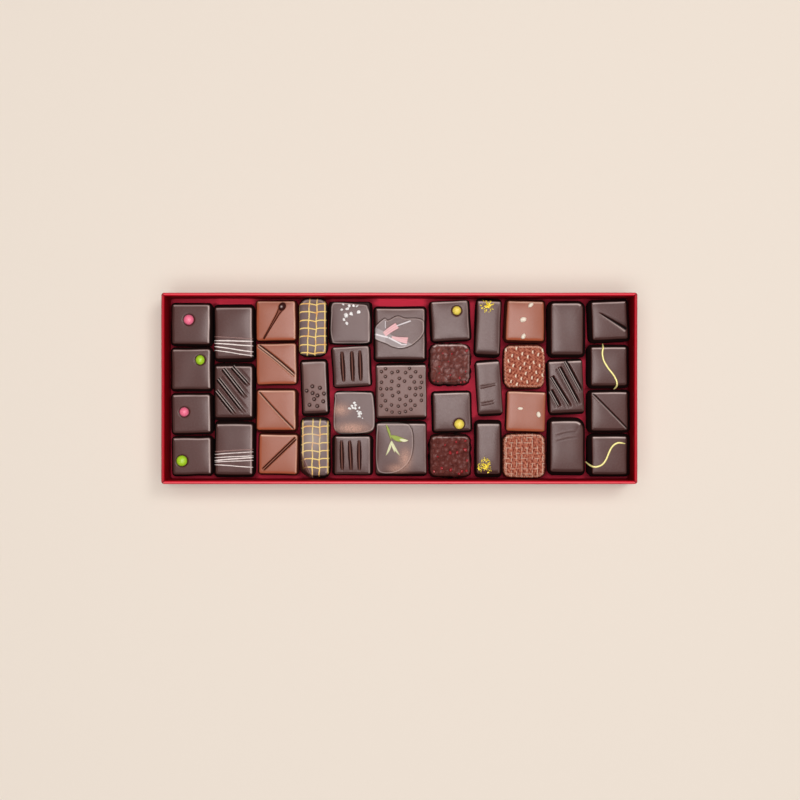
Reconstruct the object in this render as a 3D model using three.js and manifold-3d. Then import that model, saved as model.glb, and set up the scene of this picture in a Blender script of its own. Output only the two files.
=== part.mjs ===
// A shallow open gift box of wrapped board, filled with thirty-nine pralines in eleven columns.
// Millimetres, +Z up, +X along the box, origin at the centre of the underside of the box.

import * as THREE from "three";
import { mergeVertices } from "three/addons/utils/BufferGeometryUtils.js";
import Module from "manifold-3d";

const wasm = await Module();
wasm.setup();

// Driving dimensions of the box
const BOX_LENGTH = 286;
const BOX_WIDTH = 115;
const BOX_HEIGHT = 26.5;
const BOARD = 2;
const BOX_CORNER = 1.6;
const INNER_CORNER = 0.3;
const BASE_EDGE = 0.3;
const RIM_ROUND = 0.6;

// Driving dimensions of the pralines: fillings cut on a 7.5 mm grid and coated
const PRALINE_HEIGHT = 13.6;
const TOP_CROWN = 0.2;
const TOP_CORNER = 1.1;
const SOFT_TOP_CORNER = 3.4;
const FOOT_CORNER = 2.4;
const SHARP_SHOULDER = 0.8;
const SOFT_SHOULDER = 2;
const FOOT_CLEARANCE = 0.15;
const FOOT_LIMIT = 2.4;
const UNEVENNESS = 0.004;

// Side of a praline from the foot up: share of its height, share of its spread, growth of its corners
const SIDE_LEVELS = [[0, 0.85, 1], [0.06, 1, 1], [0.7, 1, 0.8]];
const SHOULDER_SPREAD = 0.35;

// Raised marks and toppings
const FORK_MARK = { width: 1, rise: 0.45 };
const FORK_GAP = 1.9;
const DRIZZLE = { width: 1.1, rise: 0.7 };
const NET_UPRIGHT = { width: 1, rise: 0.35 };
const NET_LEVEL = { width: 0.9, rise: 0.28 };
const MARK_SINK = 0.7;
const MARK_MARGIN = 0.9;
const MARK_CREST = 0.45;
const PEARL_RADIUS = 3;
const PEARL_SINK = 0.8;
const CRATER = { radius: 1.1, depth: 0.5 };
const SALT_SIZE = 1.2;
const NUT_LEVEL = 14;
const FLAKE_LEVEL = 13.9;
const GOLD_FLAKE = [1.3, 0.9, 0.55];
const SLIVER = [0.6, 1.2, 0.6];
const CRUST_LEVEL = 13.3;
const CRUST_MARGIN = 0.5;
const CRUST_PIECE = { long: 2.3, wide: 1.8, high: 1.3 };

const DARK = { color: 0x4b3029, roughness: 0.42 };
const MILK = { color: 0x9a5436, roughness: 0.4 };
const ROCK = { color: 0x3c2019, roughness: 0.35 };
const PAPER = { color: 0xa8142a, roughness: 0.38 };

const TAU = 2 * Math.PI;
const GOLDEN_TURN = 2.4;

// What is left of a rounding half way round its arc
const ARC_MIDDLE = 0.3;

// Repeatable number between 0 and 1 for a seed
function chance(seed) {
  const wave = Math.sin(seed * 12.9898 + 4.1414) * 43758.5453;
  return wave - Math.floor(wave);
}

// Rectangle with rounded corners, anticlockwise from the corner at +X +Y, in the XY plane
function roundedOutline(halfX, halfY, radii, steps) {
  const points = [];
  for (let corner = 0; corner < 4; corner += 1) {
    const signX = corner === 0 || corner === 3 ? 1 : -1;
    const signY = corner < 2 ? 1 : -1;
    const radius = radii[corner];
    for (let step = 0; step <= steps; step += 1) {
      const angle = (TAU / 4) * (corner + step / steps);
      points.push(new THREE.Vector2(
        signX * (halfX - radius) + radius * Math.cos(angle),
        signY * (halfY - radius) + radius * Math.sin(angle),
      ));
    }
  }
  return points;
}

// Closed body through level rings of equal point count, capped by fans at both ends
function loft(rings, capStart, capEnd) {
  const count = rings[0].points.length;
  const positions = [];
  const indices = [];
  for (const ring of rings) {
    for (const point of ring.points) {
      positions.push(point.x, point.y, ring.z);
    }
  }
  const startCentre = rings.length * count;
  positions.push(0, 0, capStart, 0, 0, capEnd);
  const last = (rings.length - 1) * count;
  for (let i = 0; i < count; i += 1) {
    const next = (i + 1) % count;
    indices.push(startCentre, next, i);
    indices.push(startCentre + 1, last + i, last + next);
    for (let level = 0; level < last; level += count) {
      indices.push(level + i, level + next, level + count + next);
      indices.push(level + i, level + count + next, level + count + i);
    }
  }
  const geometry = new THREE.BufferGeometry();
  geometry.setAttribute("position", new THREE.Float32BufferAttribute(positions, 3));
  geometry.setIndex(indices);
  return geometry;
}

function toSolid(geometry) {
  const bare = geometry.clone();
  bare.deleteAttribute("normal");
  bare.deleteAttribute("uv");
  const merged = mergeVertices(bare, 1e-4);
  return new wasm.Manifold(new wasm.Mesh({
    numProp: 3,
    vertProperties: new Float32Array(merged.attributes.position.array),
    triVerts: new Uint32Array(merged.index.array),
  }));
}

function toGeometry(solid) {
  const mesh = solid.getMesh();
  const geometry = new THREE.BufferGeometry();
  geometry.setAttribute("position", new THREE.BufferAttribute(mesh.vertProperties, 3));
  geometry.setIndex(new THREE.BufferAttribute(mesh.triVerts, 1));
  geometry.computeVertexNormals();
  return geometry;
}

// Board tray in one body: up the outside, over the rounded rim, down the inside, across the floor
function boxGeometry() {
  const halfX = BOX_LENGTH / 2;
  const halfY = BOX_WIDTH / 2;
  const level = (inset, z) => {
    const radii = Array(4).fill(Math.max(BOX_CORNER - inset, INNER_CORNER));
    return { points: roundedOutline(halfX - inset, halfY - inset, radii, 3), z };
  };
  const arc = RIM_ROUND * ARC_MIDDLE;
  return loft([
    level(BASE_EDGE, 0),
    level(0, BASE_EDGE),
    level(0, BOX_HEIGHT - RIM_ROUND),
    level(arc, BOX_HEIGHT - arc),
    level(RIM_ROUND, BOX_HEIGHT),
    level(BOARD - RIM_ROUND, BOX_HEIGHT),
    level(BOARD - arc, BOX_HEIGHT - arc),
    level(BOARD, BOX_HEIGHT - RIM_ROUND),
    level(BOARD, BOARD),
  ], 0, BOARD);
}

// Half the length a turned top face takes up along X and along Y
function reach({ size, turn }) {
  const angle = Math.abs(THREE.MathUtils.degToRad(turn));
  return [0, 1].map((axis) => (size[axis] * Math.cos(angle) + size[1 - axis] * Math.sin(angle)) / 2);
}

// How far a foot can spread along one axis before it comes near a wall or another praline
function footSpread(praline, others, axis) {
  const half = reach(praline);
  const wall = [BOX_LENGTH, BOX_WIDTH][axis] / 2 - BOARD;
  const gaps = [2 * (wall - Math.abs(praline.at[axis]) - half[axis])];
  for (const other of others) {
    const otherHalf = reach(other);
    const beside = Math.abs(praline.at[1 - axis] - other.at[1 - axis]) - half[1 - axis] - otherHalf[1 - axis];
    const gap = Math.abs(praline.at[axis] - other.at[axis]) - half[axis] - otherHalf[axis];
    if (beside < FOOT_LIMIT && gap > 0) {
      gaps.push(gap);
    }
  }
  const angle = Math.abs(THREE.MathUtils.degToRad(praline.turn));
  const free = (Math.min(...gaps) / 2 - FOOT_CLEARANCE) / (Math.cos(angle) + Math.sin(angle));
  return Math.min(free, FOOT_LIMIT);
}

// Coated body: upright sides that swell past the top face, drawn in to it over a rounded shoulder
function pralineBody({ size, foot, shoulder, corners, seed }) {
  const halfX = size[0] / 2;
  const halfY = size[1] / 2;
  const top = PRALINE_HEIGHT;
  const level = (share, inset, z, cornerGrow) => {
    const radii = corners.map((radius) => radius + cornerGrow);
    const points = roundedOutline(halfX - inset + share * foot[0], halfY - inset + share * foot[1], radii, 2);
    points.forEach((point, index) => {
      point.multiplyScalar(1 + UNEVENNESS * (2 * chance(seed * 7.3 + index) - 1));
    });
    return { points, z };
  };
  const side = SIDE_LEVELS.map(([height, share, grow]) => level(share, 0, height * top, grow * FOOT_CORNER));
  return loft([
    ...side,
    level(SHOULDER_SPREAD, 0, top - shoulder, ARC_MIDDLE * FOOT_CORNER),
    level(0, 0, top - shoulder * ARC_MIDDLE, 0),
    level(0, shoulder * 0.55, top, 0),
  ], 0, top + TOP_CROWN);
}

// Bar of trapezoid section on the top face, following plan points, with a half width at each
function ridge(path, halfWidths, rise) {
  const low = PRALINE_HEIGHT - MARK_SINK;
  const high = PRALINE_HEIGHT + TOP_CROWN + rise;
  const positions = [];
  const indices = [];
  path.forEach((point, index) => {
    const before = path[Math.max(index - 1, 0)];
    const after = path[Math.min(index + 1, path.length - 1)];
    const along = new THREE.Vector2().subVectors(after, before).normalize();
    const side = new THREE.Vector2(-along.y, along.x);
    const half = halfWidths[index];
    const crest = half * MARK_CREST;
    for (const [offset, z] of [[half, low], [-half, low], [-crest, high], [crest, high]]) {
      positions.push(point.x + side.x * offset, point.y + side.y * offset, z);
    }
  });
  for (let station = 0; station < path.length - 1; station += 1) {
    for (let corner = 0; corner < 4; corner += 1) {
      const a = station * 4 + corner;
      const b = station * 4 + (corner + 1) % 4;
      indices.push(a, b + 4, b, a, a + 4, b + 4);
    }
  }
  const end = (path.length - 1) * 4;
  indices.push(0, 1, 2, 0, 2, 3, end, end + 2, end + 1, end, end + 3, end + 2);
  const geometry = new THREE.BufferGeometry();
  geometry.setAttribute("position", new THREE.Float32BufferAttribute(positions, 3));
  geometry.setIndex(indices);
  return geometry;
}

// Where a straight line, turned by an angle and shifted sideways, crosses the top face
function chord(size, degrees, offset) {
  const angle = THREE.MathUtils.degToRad(degrees);
  const along = new THREE.Vector2(Math.cos(angle), Math.sin(angle));
  const middle = new THREE.Vector2(-along.y, along.x).multiplyScalar(offset);
  let from = -Infinity;
  let to = Infinity;
  for (const [start, slope, half] of [
    [middle.x, along.x, size[0] / 2 - MARK_MARGIN],
    [middle.y, along.y, size[1] / 2 - MARK_MARGIN],
  ]) {
    if (Math.abs(slope) > 1e-6) {
      const ends = [(-half - start) / slope, (half - start) / slope];
      from = Math.max(from, Math.min(...ends));
      to = Math.min(to, Math.max(...ends));
    }
  }
  return [from, to].map((reach) => middle.clone().addScaledVector(along, reach));
}

// Straight raised lines side by side across the top face
function lines(size, { angle, offsets, width, rise }) {
  return offsets.map((offset) => {
    const ends = chord(size, angle, offset);
    return ridge(ends, [width / 2, width / 2], rise);
  });
}

// Pairs of fork marks, each pair centred on one offset
function forkMarks(size, angle, centres) {
  const offsets = centres.flatMap((centre) => [centre - FORK_GAP / 2, centre + FORK_GAP / 2]);
  return lines(size, { angle, offsets, ...FORK_MARK });
}

// Drizzled lines at an even pitch
function drizzle(size, angle, count, pitch, middle) {
  const offsets = Array.from({ length: count }, (_, i) => middle + (i - (count - 1) / 2) * pitch);
  return lines(size, { angle, offsets, ...DRIZZLE });
}

// Piped net of upright and level lines across the top face
function net(size, uprights, levels) {
  return [
    ...lines(size, { angle: 90, offsets: uprights.map((x) => -x), ...NET_UPRIGHT }),
    ...lines(size, { angle: 0, offsets: levels, ...NET_LEVEL }),
  ];
}

// Raised line along a smooth plan curve
function curvedLine(controls, width, rise, steps) {
  const curve = new THREE.SplineCurve(controls.map(([x, y]) => new THREE.Vector2(x, y)));
  const path = curve.getPoints(steps);
  return ridge(path, path.map(() => width / 2), rise);
}

// Teardrop left by the dipping fork: a round head drawn out into a thin tail
function teardrop(head, tail, radius) {
  const start = new THREE.Vector2(...head);
  const finish = new THREE.Vector2(...tail);
  const steps = 6;
  const path = [];
  const widths = [];
  for (let i = 0; i <= steps; i += 1) {
    const share = i / steps;
    path.push(start.clone().lerp(finish, share));
    widths.push(radius * (0.28 + 0.72 * Math.sin(Math.PI * Math.min(share + 0.18, 1)) ** 3));
  }
  return [ridge(path, widths, FORK_MARK.rise)];
}

function pearl(x, y) {
  const ball = new THREE.SphereGeometry(PEARL_RADIUS, 10, 7);
  ball.rotateX(Math.PI / 2);
  ball.translate(x, y, PRALINE_HEIGHT + PEARL_RADIUS - PEARL_SINK);
  return [ball];
}

// Uneven rounded fragment, half sunk in the top
function fragment(x, y, z, radii, seed) {
  const stone = new THREE.IcosahedronGeometry(1, 0);
  stone.rotateX(chance(seed) * TAU);
  stone.rotateY(chance(seed + 1) * TAU);
  stone.scale(...radii);
  stone.rotateZ(chance(seed + 2) * TAU);
  stone.translate(x, y, z);
  return stone;
}

// Salt crystals: small blocks scattered round one spot
function salt(count, centre, spread, seed) {
  const blocks = [];
  for (let i = 0; i < count; i += 1) {
    const angle = i * GOLDEN_TURN + seed;
    const reach = Math.sqrt((i + 0.4) / count);
    const edge = SALT_SIZE * (0.75 + 0.5 * chance(seed + i));
    const block = new THREE.BoxGeometry(edge, edge * 0.8, edge * 1.1);
    block.rotateX(0.5 * chance(seed + i + 20));
    block.rotateZ(angle * 3);
    block.translate(
      centre[0] + spread[0] * reach * Math.cos(angle),
      centre[1] + spread[1] * reach * Math.sin(angle),
      PRALINE_HEIGHT + TOP_CROWN + edge * 0.15,
    );
    blocks.push(block);
  }
  return blocks;
}

// Coated nut pieces standing out all over the top
function nutCrust(size, across, along, seed) {
  const bumps = [];
  for (let i = 0; i < across; i += 1) {
    for (let j = 0; j < along; j += 1) {
      const index = seed + i * along + j;
      const x = ((i + 0.2 + 0.6 * chance(index)) / across - 0.5) * (size[0] - 2 * CRUST_MARGIN);
      const y = ((j + 0.2 + 0.6 * chance(index + 50)) / along - 0.5) * (size[1] - 2 * CRUST_MARGIN);
      const long = CRUST_PIECE.long + chance(index + 3);
      const wide = CRUST_PIECE.wide + chance(index + 5);
      bumps.push(fragment(x, y, CRUST_LEVEL, [long, wide, CRUST_PIECE.high], index));
    }
  }
  return bumps;
}

// Round dimples at given spots of the top face
function craters(spots) {
  return spots.map(([x, y]) => {
    const bowl = new THREE.SphereGeometry(CRATER.radius, 6, 3);
    bowl.rotateX(Math.PI / 2);
    bowl.translate(x, y, PRALINE_HEIGHT + TOP_CROWN + CRATER.radius - CRATER.depth);
    return bowl;
  });
}

// Small thin pieces of one kind lying on the top face
function flakes(spots, radii, seed) {
  return spots.map(([x, y], index) => fragment(x, y, FLAKE_LEVEL, radii, seed + index));
}

// Craters in uneven columns, each with a place and the levels of its craters
function craterColumns(columns) {
  const spots = columns.flatMap(([x, levels]) => (
    levels.map((y, index) => [x + 0.5 * Math.sin(GOLDEN_TURN * index + x), y])
  ));
  return craters(spots);
}

const SCATTERED_CRATERS = [
  [-1.3, 0.7], [3.3, -0.4], [-4.9, -1.8], [-1.3, -3.4], [1.6, -5], [5.7, -4], [-0.5, -7.1],
  [5, -8.7], [-3.5, -10.5], [1.2, -11.4],
];
const CRATER_COLUMNS = [
  [-12.1, [12.2, 5.7, 1.8, -2.1, -8.6]],
  [-9.2, [14, 9.1, 1.7, -5.6, -11]],
  [-5.7, [11.5, 6.2, 1.7, -2.5, -8.2, -12.5]],
  [-1.4, [12.2, 7.9, 3.6, -0.5, -4.8, -9, -12.9]],
  [2.6, [11.4, 6.2, -3, -8.2, -12.3]],
  [5.6, [14, 8.9, 1.7, -5.7, -11]],
  [8.6, [11.8, 5.6, 1.7, -2.2, -8.6]],
  [12.1, [8.8, 5.3, 2.1, -2.4, -5.6]],
];
const SLIVER_SPOTS = [
  [-6.5, 7.4], [-0.5, 8.2], [6.2, 7.3], [-8, 1], [-2.2, 1.6], [4.6, 1], [8.2, -3], [-5, -5.2], [1, -5.6],
  [6, -8.4],
];
const FAR_GOLD = [[-2.9, 12.2], [-1.2, 14.2], [0.4, 12.4], [1.8, 13.9]];
const NEAR_GOLD = [[-3.6, -10.6], [-2.6, -8.2], [-1, -9.8], [-0.6, -7.2]];
const S_LINE = [[-4, 12], [-3.4, 6], [-2.2, 1.5], [2.4, -5], [4.6, -10]];
const HOOK_LINE = [[-10, -5], [-6.5, -6], [-3, -3.5], [0.5, 4], [4, 7.3], [9.2, 7.4]];

// Each column from left to right, and its pralines from the back to the front: the middle of the
// top face, its size, a turn in degrees, what differs in its shape or colour, and what is on it.
const COLUMNS = [
  { pralines: [
    { at: [-126.7, 39.0], size: [22.6, 23.7], turn: -0.5, add: () => pearl(-1.3, 2.7) },
    { at: [-126.6, 11.7], size: [22.8, 23.9], turn: 0.3, add: () => pearl(5.7, 5.7) },
    { at: [-126.5, -15.4], size: [22.7, 22.9], turn: 0.8, add: () => pearl(-4.2, 1.2) },
    { at: [-126.2, -41.2], size: [22.7, 21.9], turn: 0.8, add: () => pearl(-6, -2.7) },
  ] },
  { pralines: [
    { at: [-100.7, 33.7], size: [22.2, 30.7], turn: 0.5, add: (s) => drizzle(s, -6, 5, 2.4, -7.5) },
    { at: [-100.7, -2.0], size: [22.2, 30.9], turn: 0,
      add: (s) => forkMarks(s, -50, [9.4, 4.2, -2.4, -9.2]) },
    { at: [-100.5, -37.0], size: [22.1, 30.4], turn: -0.5, add: (s) => drizzle(s, 4, 6, 1.9, -5) },
  ] },
  { tone: MILK, pralines: [
    { at: [-74.9, 41.2], size: [23.2, 23.4], turn: 0.5, add: () => teardrop([4, 8.8], [-7.8, -10.6], 2.2) },
    { at: [-74.7, 14.9], size: [23.5, 24.1], turn: 1, add: (s) => forkMarks(s, -40, [0.4]) },
    { at: [-74.8, -13.1], size: [23, 23.8], turn: 0, add: (s) => forkMarks(s, -47, [0.3]) },
    { at: [-73.6, -39.9], size: [22.8, 23.4], turn: -1, add: (s) => forkMarks(s, 44, [0.2]) },
  ] },
  { pralines: [
    { at: [-52.6, 37.3], size: [15.6, 33.4], turn: 0, soft: true,
      add: (s) => net(s, [-2.6, 2.1], [14.2, 9.3, 4.3, -0.7, -5.6, -10.6]) },
    { at: [-51.6, 0.7], size: [14.8, 31.2], turn: 2.3, cut: () => craters(SCATTERED_CRATERS) },
    { at: [-51.3, -36.1], size: [15.8, 33.2], turn: 0, soft: true, corners: [2, 2, 6.5, 2],
      add: (s) => net(s, [-1.5, 2.9], [13.2, 8.3, 3.3, -1.7, -6.6]) },
  ] },
  { pralines: [
    { at: [-29.9, 40.0], size: [23.6, 24.6], turn: 0, soft: true,
      add: () => salt(11, [0.2, 6.2], [5.4, 4.8], 3) },
    { at: [-29.1, 13.3], size: [22, 24], turn: 3, add: (s) => forkMarks(s, 90, [5.6, 0, -5]) },
    { at: [-27.5, -14.6], size: [24.4, 24.6], turn: 0, soft: true,
      add: () => salt(10, [2, 1.6], [4, 4.8], 8) },
    { at: [-28.5, -40.7], size: [21.4, 22.8], turn: 0, add: (s) => forkMarks(s, 90, [6.6, 1.2, -4]) },
  ] },
  { pralines: [
    { at: [0.4, 33.2], size: [29.8, 30.4], turn: 0 },
    { at: [1.1, -1.8], size: [30.4, 31.6], turn: 0.8, cut: () => craterColumns(CRATER_COLUMNS) },
    { at: [1.1, -36.6], size: [30.3, 30.4], turn: 0 },
  ] },
  { pralines: [
    { at: [30.9, 41.1], size: [22.3, 23.5], turn: 3, add: () => pearl(4.3, 6) },
    { at: [30.8, 14.7], size: [23.4, 24], turn: 0, tone: ROCK, soft: true,
      add: (s) => nutCrust(s, 4, 4, 100) },
    { at: [31.9, -14.2], size: [22.1, 23.1], turn: 1.5, add: () => pearl(4.3, -7.6) },
    { at: [30.8, -41.1], size: [23.4, 23.8], turn: 0, tone: ROCK, soft: true,
      add: (s) => nutCrust(s, 4, 4, 300) },
  ] },
  { pralines: [
    { at: [54.0, 36.9], size: [14.3, 32.2], turn: -2, add: () => flakes(FAR_GOLD, GOLD_FLAKE, 31) },
    { at: [54.5, 0.3], size: [14.6, 31.2], turn: 3.5, add: (s) => forkMarks(s, 5, [2.7, -7.8]) },
    { at: [54.1, -36.7], size: [14, 30.3], turn: 0, add: () => flakes(NEAR_GOLD, GOLD_FLAKE, 41) },
  ] },
  { tone: MILK, pralines: [
    { at: [76.5, 41.1], size: [22.4, 23.7], turn: -1.5, add: () => [
      fragment(2.9, 9.7, NUT_LEVEL, [2.2, 1.5, 1.1], 4),
      fragment(-1.1, 0.6, NUT_LEVEL, [2.6, 2, 1.2], 7),
      fragment(-0.7, -9.3, NUT_LEVEL, [2.2, 1.5, 1.1], 12),
    ] },
    { at: [75.9, 13.4], size: [23.8, 24.4], turn: 0, soft: true,
      add: () => flakes(SLIVER_SPOTS, SLIVER, 51) },
    { at: [77.0, -14.0], size: [23, 23.6], turn: -1.8, add: () => [
      fragment(-3.7, 1.7, NUT_LEVEL, [2.4, 1.5, 1], 15),
      fragment(7.6, -1.4, NUT_LEVEL, [1.5, 2.2, 1.1], 18),
    ] },
    { at: [75.9, -40.9], size: [24, 25.4], turn: 0, soft: true },
  ] },
  { pralines: [
    { at: [101.9, 36.2], size: [19.2, 31], turn: 0, corners: [2.6, 1.4, 1.1, 1.1] },
    { at: [101.4, 1.0], size: [20.6, 31], turn: 2.5,
      add: (s) => forkMarks(s, -62, [8.4, 3.4, -2.6, -8]) },
    { at: [101.9, -35.3], size: [19.8, 30.6], turn: 0, corners: [4.6, 1.1, 1.1, 1.1] },
  ] },
  { pralines: [
    { at: [127.7, 41.2], size: [21, 22.6], turn: 2.5, add: (s) => forkMarks(s, -38, [0.6]) },
    { at: [127.4, 13.5], size: [21.4, 23.1], turn: 0.5, add: () => [curvedLine(S_LINE, 1.2, 0.4, 9)] },
    { at: [127.7, -13.9], size: [21.9, 23.1], turn: 0.5, add: (s) => forkMarks(s, -44, [0.2]) },
    { at: [127.7, -40.7], size: [20.8, 22.8], turn: 0, add: () => [curvedLine(HOOK_LINE, 1.2, 0.4, 10)] },
  ] },
];

function material({ color, roughness }) {
  return new THREE.MeshStandardMaterial({ color, roughness, metalness: 0 });
}

function pralineMesh(praline, columnTone, others, name, seed) {
  const { at, size, turn, soft = false, tone = columnTone ?? DARK, add, cut } = praline;
  const corners = praline.corners ?? Array(4).fill(soft ? SOFT_TOP_CORNER : TOP_CORNER);
  const foot = [footSpread(praline, others, 0), footSpread(praline, others, 1)];
  const shoulder = soft ? SOFT_SHOULDER : SHARP_SHOULDER;
  let solid = toSolid(pralineBody({ size, foot, shoulder, corners, seed }));
  for (const geometry of add ? add(size) : []) {
    solid = solid.add(toSolid(geometry));
  }
  for (const geometry of cut ? cut(size) : []) {
    solid = solid.subtract(toSolid(geometry));
  }
  const mesh = new THREE.Mesh(toGeometry(solid), material(tone));
  mesh.name = name;
  mesh.position.set(at[0], at[1], BOARD);
  mesh.rotation.z = THREE.MathUtils.degToRad(turn);
  return mesh;
}

const group = new THREE.Group();

const box = new THREE.Mesh(boxGeometry(), material(PAPER));
box.name = "box_tray";
group.add(box);

const everyPraline = COLUMNS.flatMap((column) => column.pralines);

COLUMNS.forEach((column, columnIndex) => {
  const prefix = `praline_${String(columnIndex + 1).padStart(2, "0")}`;
  column.pralines.forEach((praline, rowIndex) => {
    const others = everyPraline.filter((other) => other !== praline);
    const seed = columnIndex * 4 + rowIndex + 1;
    group.add(pralineMesh(praline, column.tone, others, `${prefix}_${rowIndex + 1}`, seed));
  });
});

export default group;
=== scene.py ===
import math

import bpy
import numpy as np
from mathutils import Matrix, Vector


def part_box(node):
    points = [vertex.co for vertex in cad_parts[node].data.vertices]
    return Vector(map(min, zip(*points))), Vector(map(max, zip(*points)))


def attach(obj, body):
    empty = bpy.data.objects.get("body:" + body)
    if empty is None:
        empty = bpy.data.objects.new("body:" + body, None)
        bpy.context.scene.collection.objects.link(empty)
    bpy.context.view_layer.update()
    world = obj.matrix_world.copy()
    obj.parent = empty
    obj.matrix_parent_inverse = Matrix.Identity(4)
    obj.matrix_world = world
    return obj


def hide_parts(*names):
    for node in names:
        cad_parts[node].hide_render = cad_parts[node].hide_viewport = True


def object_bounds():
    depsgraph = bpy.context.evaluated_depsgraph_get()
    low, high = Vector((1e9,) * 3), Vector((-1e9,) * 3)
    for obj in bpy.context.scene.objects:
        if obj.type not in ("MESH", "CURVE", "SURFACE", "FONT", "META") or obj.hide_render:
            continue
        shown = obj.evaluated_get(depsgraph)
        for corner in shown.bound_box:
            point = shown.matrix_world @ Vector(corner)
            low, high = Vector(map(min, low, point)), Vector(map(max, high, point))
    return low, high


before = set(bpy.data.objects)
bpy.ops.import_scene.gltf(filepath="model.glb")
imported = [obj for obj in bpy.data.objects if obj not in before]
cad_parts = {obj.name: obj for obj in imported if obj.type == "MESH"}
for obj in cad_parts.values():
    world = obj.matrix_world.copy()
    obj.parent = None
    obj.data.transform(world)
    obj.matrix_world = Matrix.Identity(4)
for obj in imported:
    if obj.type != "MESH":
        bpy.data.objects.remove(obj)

# A shallow red gift box filled with coated pralines, seen from straight above.
# Praline shapes are worked out in millimetres about the middle of each praline and placed in metres.

cad_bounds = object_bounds()
MM = 0.001
TAU = 2 * math.pi

# The camera stands over the box, a little towards the front edge
CAMERA_ABOVE_RIM = 0.85
CAMERA_OFFSET = (0.0004, -0.007)
VIEW_WIDTH_AT_RIM = 0.48
SENSOR = 36

# Colours of the light panels
PANEL_WHITE = (1.0, 0.985, 0.97)
PANEL_ROSE = (1.0, 0.9, 0.88)

# Name, place, target, size in metres, power in watts and colour of each light
LIGHTS = (
    ("overhead panel", (0.04, 0.1, 2.6), (0.04, 0.1, 0), (0.64, 0.56), 17, PANEL_ROSE),
    ("ceiling panel", (0, 0, 3), (0, 0, 0), (3.2, 3.2), 57, PANEL_WHITE),
    ("main panel", (1.05, 0.9, 2.6), (0, 0, 0), (0.9, 0.9), 14, PANEL_WHITE),
    ("front panel", (-0.1, -1.1, 2.4), (0, 0, 0), (1.6, 1.2), 6, PANEL_WHITE),
)

# How strong the light from all round is
WORLD_STRENGTH = 0.04

# The floor: how wide it is, its level just under the box, and its roughness
FLOOR_SIZE = 6
FLOOR_LEVEL = -0.0002
FLOOR_ROUGHNESS = 0.8

# The wrapped board: its thickness, the rounding of its rim and corners, how far its walls give in
# towards the rim, and its cells each way
BOARD = 2.0
RIM_ROUND = 0.95
TRAY_CORNER = 1.6
WALL_GIVE = 0.1
TRAY_CELLS = (180, 80)

# The pralines: height, rise of the top towards its middle, and crisp or soft shoulders
PRALINE_HEIGHT = 13.6
TOP_CROWN = 0.2
SHARP = 1.1
SOFT = 1.9

# How far inside the outline the flat top ends, the share of the height below which sides are
# upright, the levels of the rings there, and how uneven sides and tops are
EDGE_INSET = 0.7
BELLY_SHARE = 0.7
SIDE_LEVELS = (6.0, 2.5)
SIDE_WAVER = 0.12
TOP_WAVER = 0.08

# Strength of the painted shade on the border, of the painted highlight line on the edges, and of the painted
# sheen on the dimpled tops
BORDER_SHADE_DEPTH = 0.95
EDGE_HIGHLIGHT = 0.95
DIMPLE_SHEEN_STRENGTH = 0.22

# Depth of a crater, the pitch of a piped net, and how high a pearl stands over its foot
CRATER_DEPTH = 0.4
NET_PITCH = 4.95
PEARL_RISE = 2.2

# Where the light comes from, in plan, that decides which edges get the painted highlight line and which get
# painted border shade
GLINT_FROM = (100, 180)

# Roughness of painted places on the coats and on the paper, and of the coats' glossy layer
PRINT_ROUGHNESS = 0.9
LINER_ROUGHNESS = 0.7
COAT_ROUGHNESS = 0.2

# How strongly chocolate and paper mirror head on
BODY_SPECULAR = 0.13
PAPER_SPECULAR = 0.16

# Room between two feet at which the floor between them gets no painted shade and is as light as the open
# floor
OPEN_ROOM = 5.5

# Name and slot of each kind of topping, then its least and most roughness, its metal and its grain
TOPPINGS = {
    "pearl": ("sugar_pearls", "dark_chocolate", 0.2, 0.34, 0, 0.3),
    "salt": ("salt_crystals", "dark_chocolate", 0.2, 0.4, 0, 0.15),
    "nut_piece": ("nut_pieces", "milk_chocolate", 0.4, 0.55, 0, 0.15),
    "gold": ("gold_leaf", "dark_chocolate", 0.3, 0.5, 0.25, 0.15),
    "drizzle": ("white_drizzle", "dark_chocolate", 0.34, 0.46, 0, 0.15),
    "gilt": ("gilded_lines", "dark_chocolate", 0.3, 0.4, 0.15, 0.15),
    "nib": ("fruit_nibs", "nut_chocolate", 0.16, 0.3, 0, 0.15),
}


def srgb(red, green, blue):
    """Linear colour from the 0 to 255 values seen on a screen."""
    def linear(value):
        value /= 255
        return value / 12.92 if value <= 0.04045 else ((value + 0.055) / 1.055) ** 2.4
    return (linear(red), linear(green), linear(blue), 1.0)


DARK_COAT = srgb(84, 44, 38)
DARK_COAT_DEEP = srgb(74, 36, 31)
DARK_CREST_HIGHLIGHT = srgb(232, 212, 206)
MILK_COAT = srgb(162, 92, 66)
MILK_COAT_DEEP = srgb(154, 84, 58)
DIMPLE_SHEEN = srgb(190, 150, 140)
SPINE_HIGHLIGHT = srgb(140, 94, 82)
DROP_HEAD = srgb(58, 26, 22)
DROP_TAIL = srgb(112, 60, 46)
PEARL_CONTACT_SHADOW = srgb(24, 10, 8)
NET_SHEEN = srgb(206, 190, 180)
FLOOR_CREAM = srgb(242, 232, 219)
NUT_COAT = srgb(136, 80, 72)
NUT_COAT_DEEP = srgb(90, 40, 35)
NUT_SHADE = srgb(92, 36, 31)
NUT_CREASE_SHADE = srgb(52, 14, 12)
PAPER_RED = srgb(200, 3, 32)
PAPER_RED_DEEP = srgb(186, 0, 25)
PAPER_CROWN_LIGHT = srgb(238, 22, 52)
PAPER_SHADE = srgb(150, 0, 14)
PAPER_OUTER_SHADE = srgb(150, 2, 20)
LINER_RED = srgb(255, 62, 92)
LINER_GAP_SHADE = srgb(112, 0, 24)
PAPER_SEAM = srgb(70, 0, 8)
PAPER_RIM_HIGHLIGHT = srgb(255, 140, 148)
CREAM = srgb(255, 243, 238)
CREAM_DIM = srgb(170, 132, 126)
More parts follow.
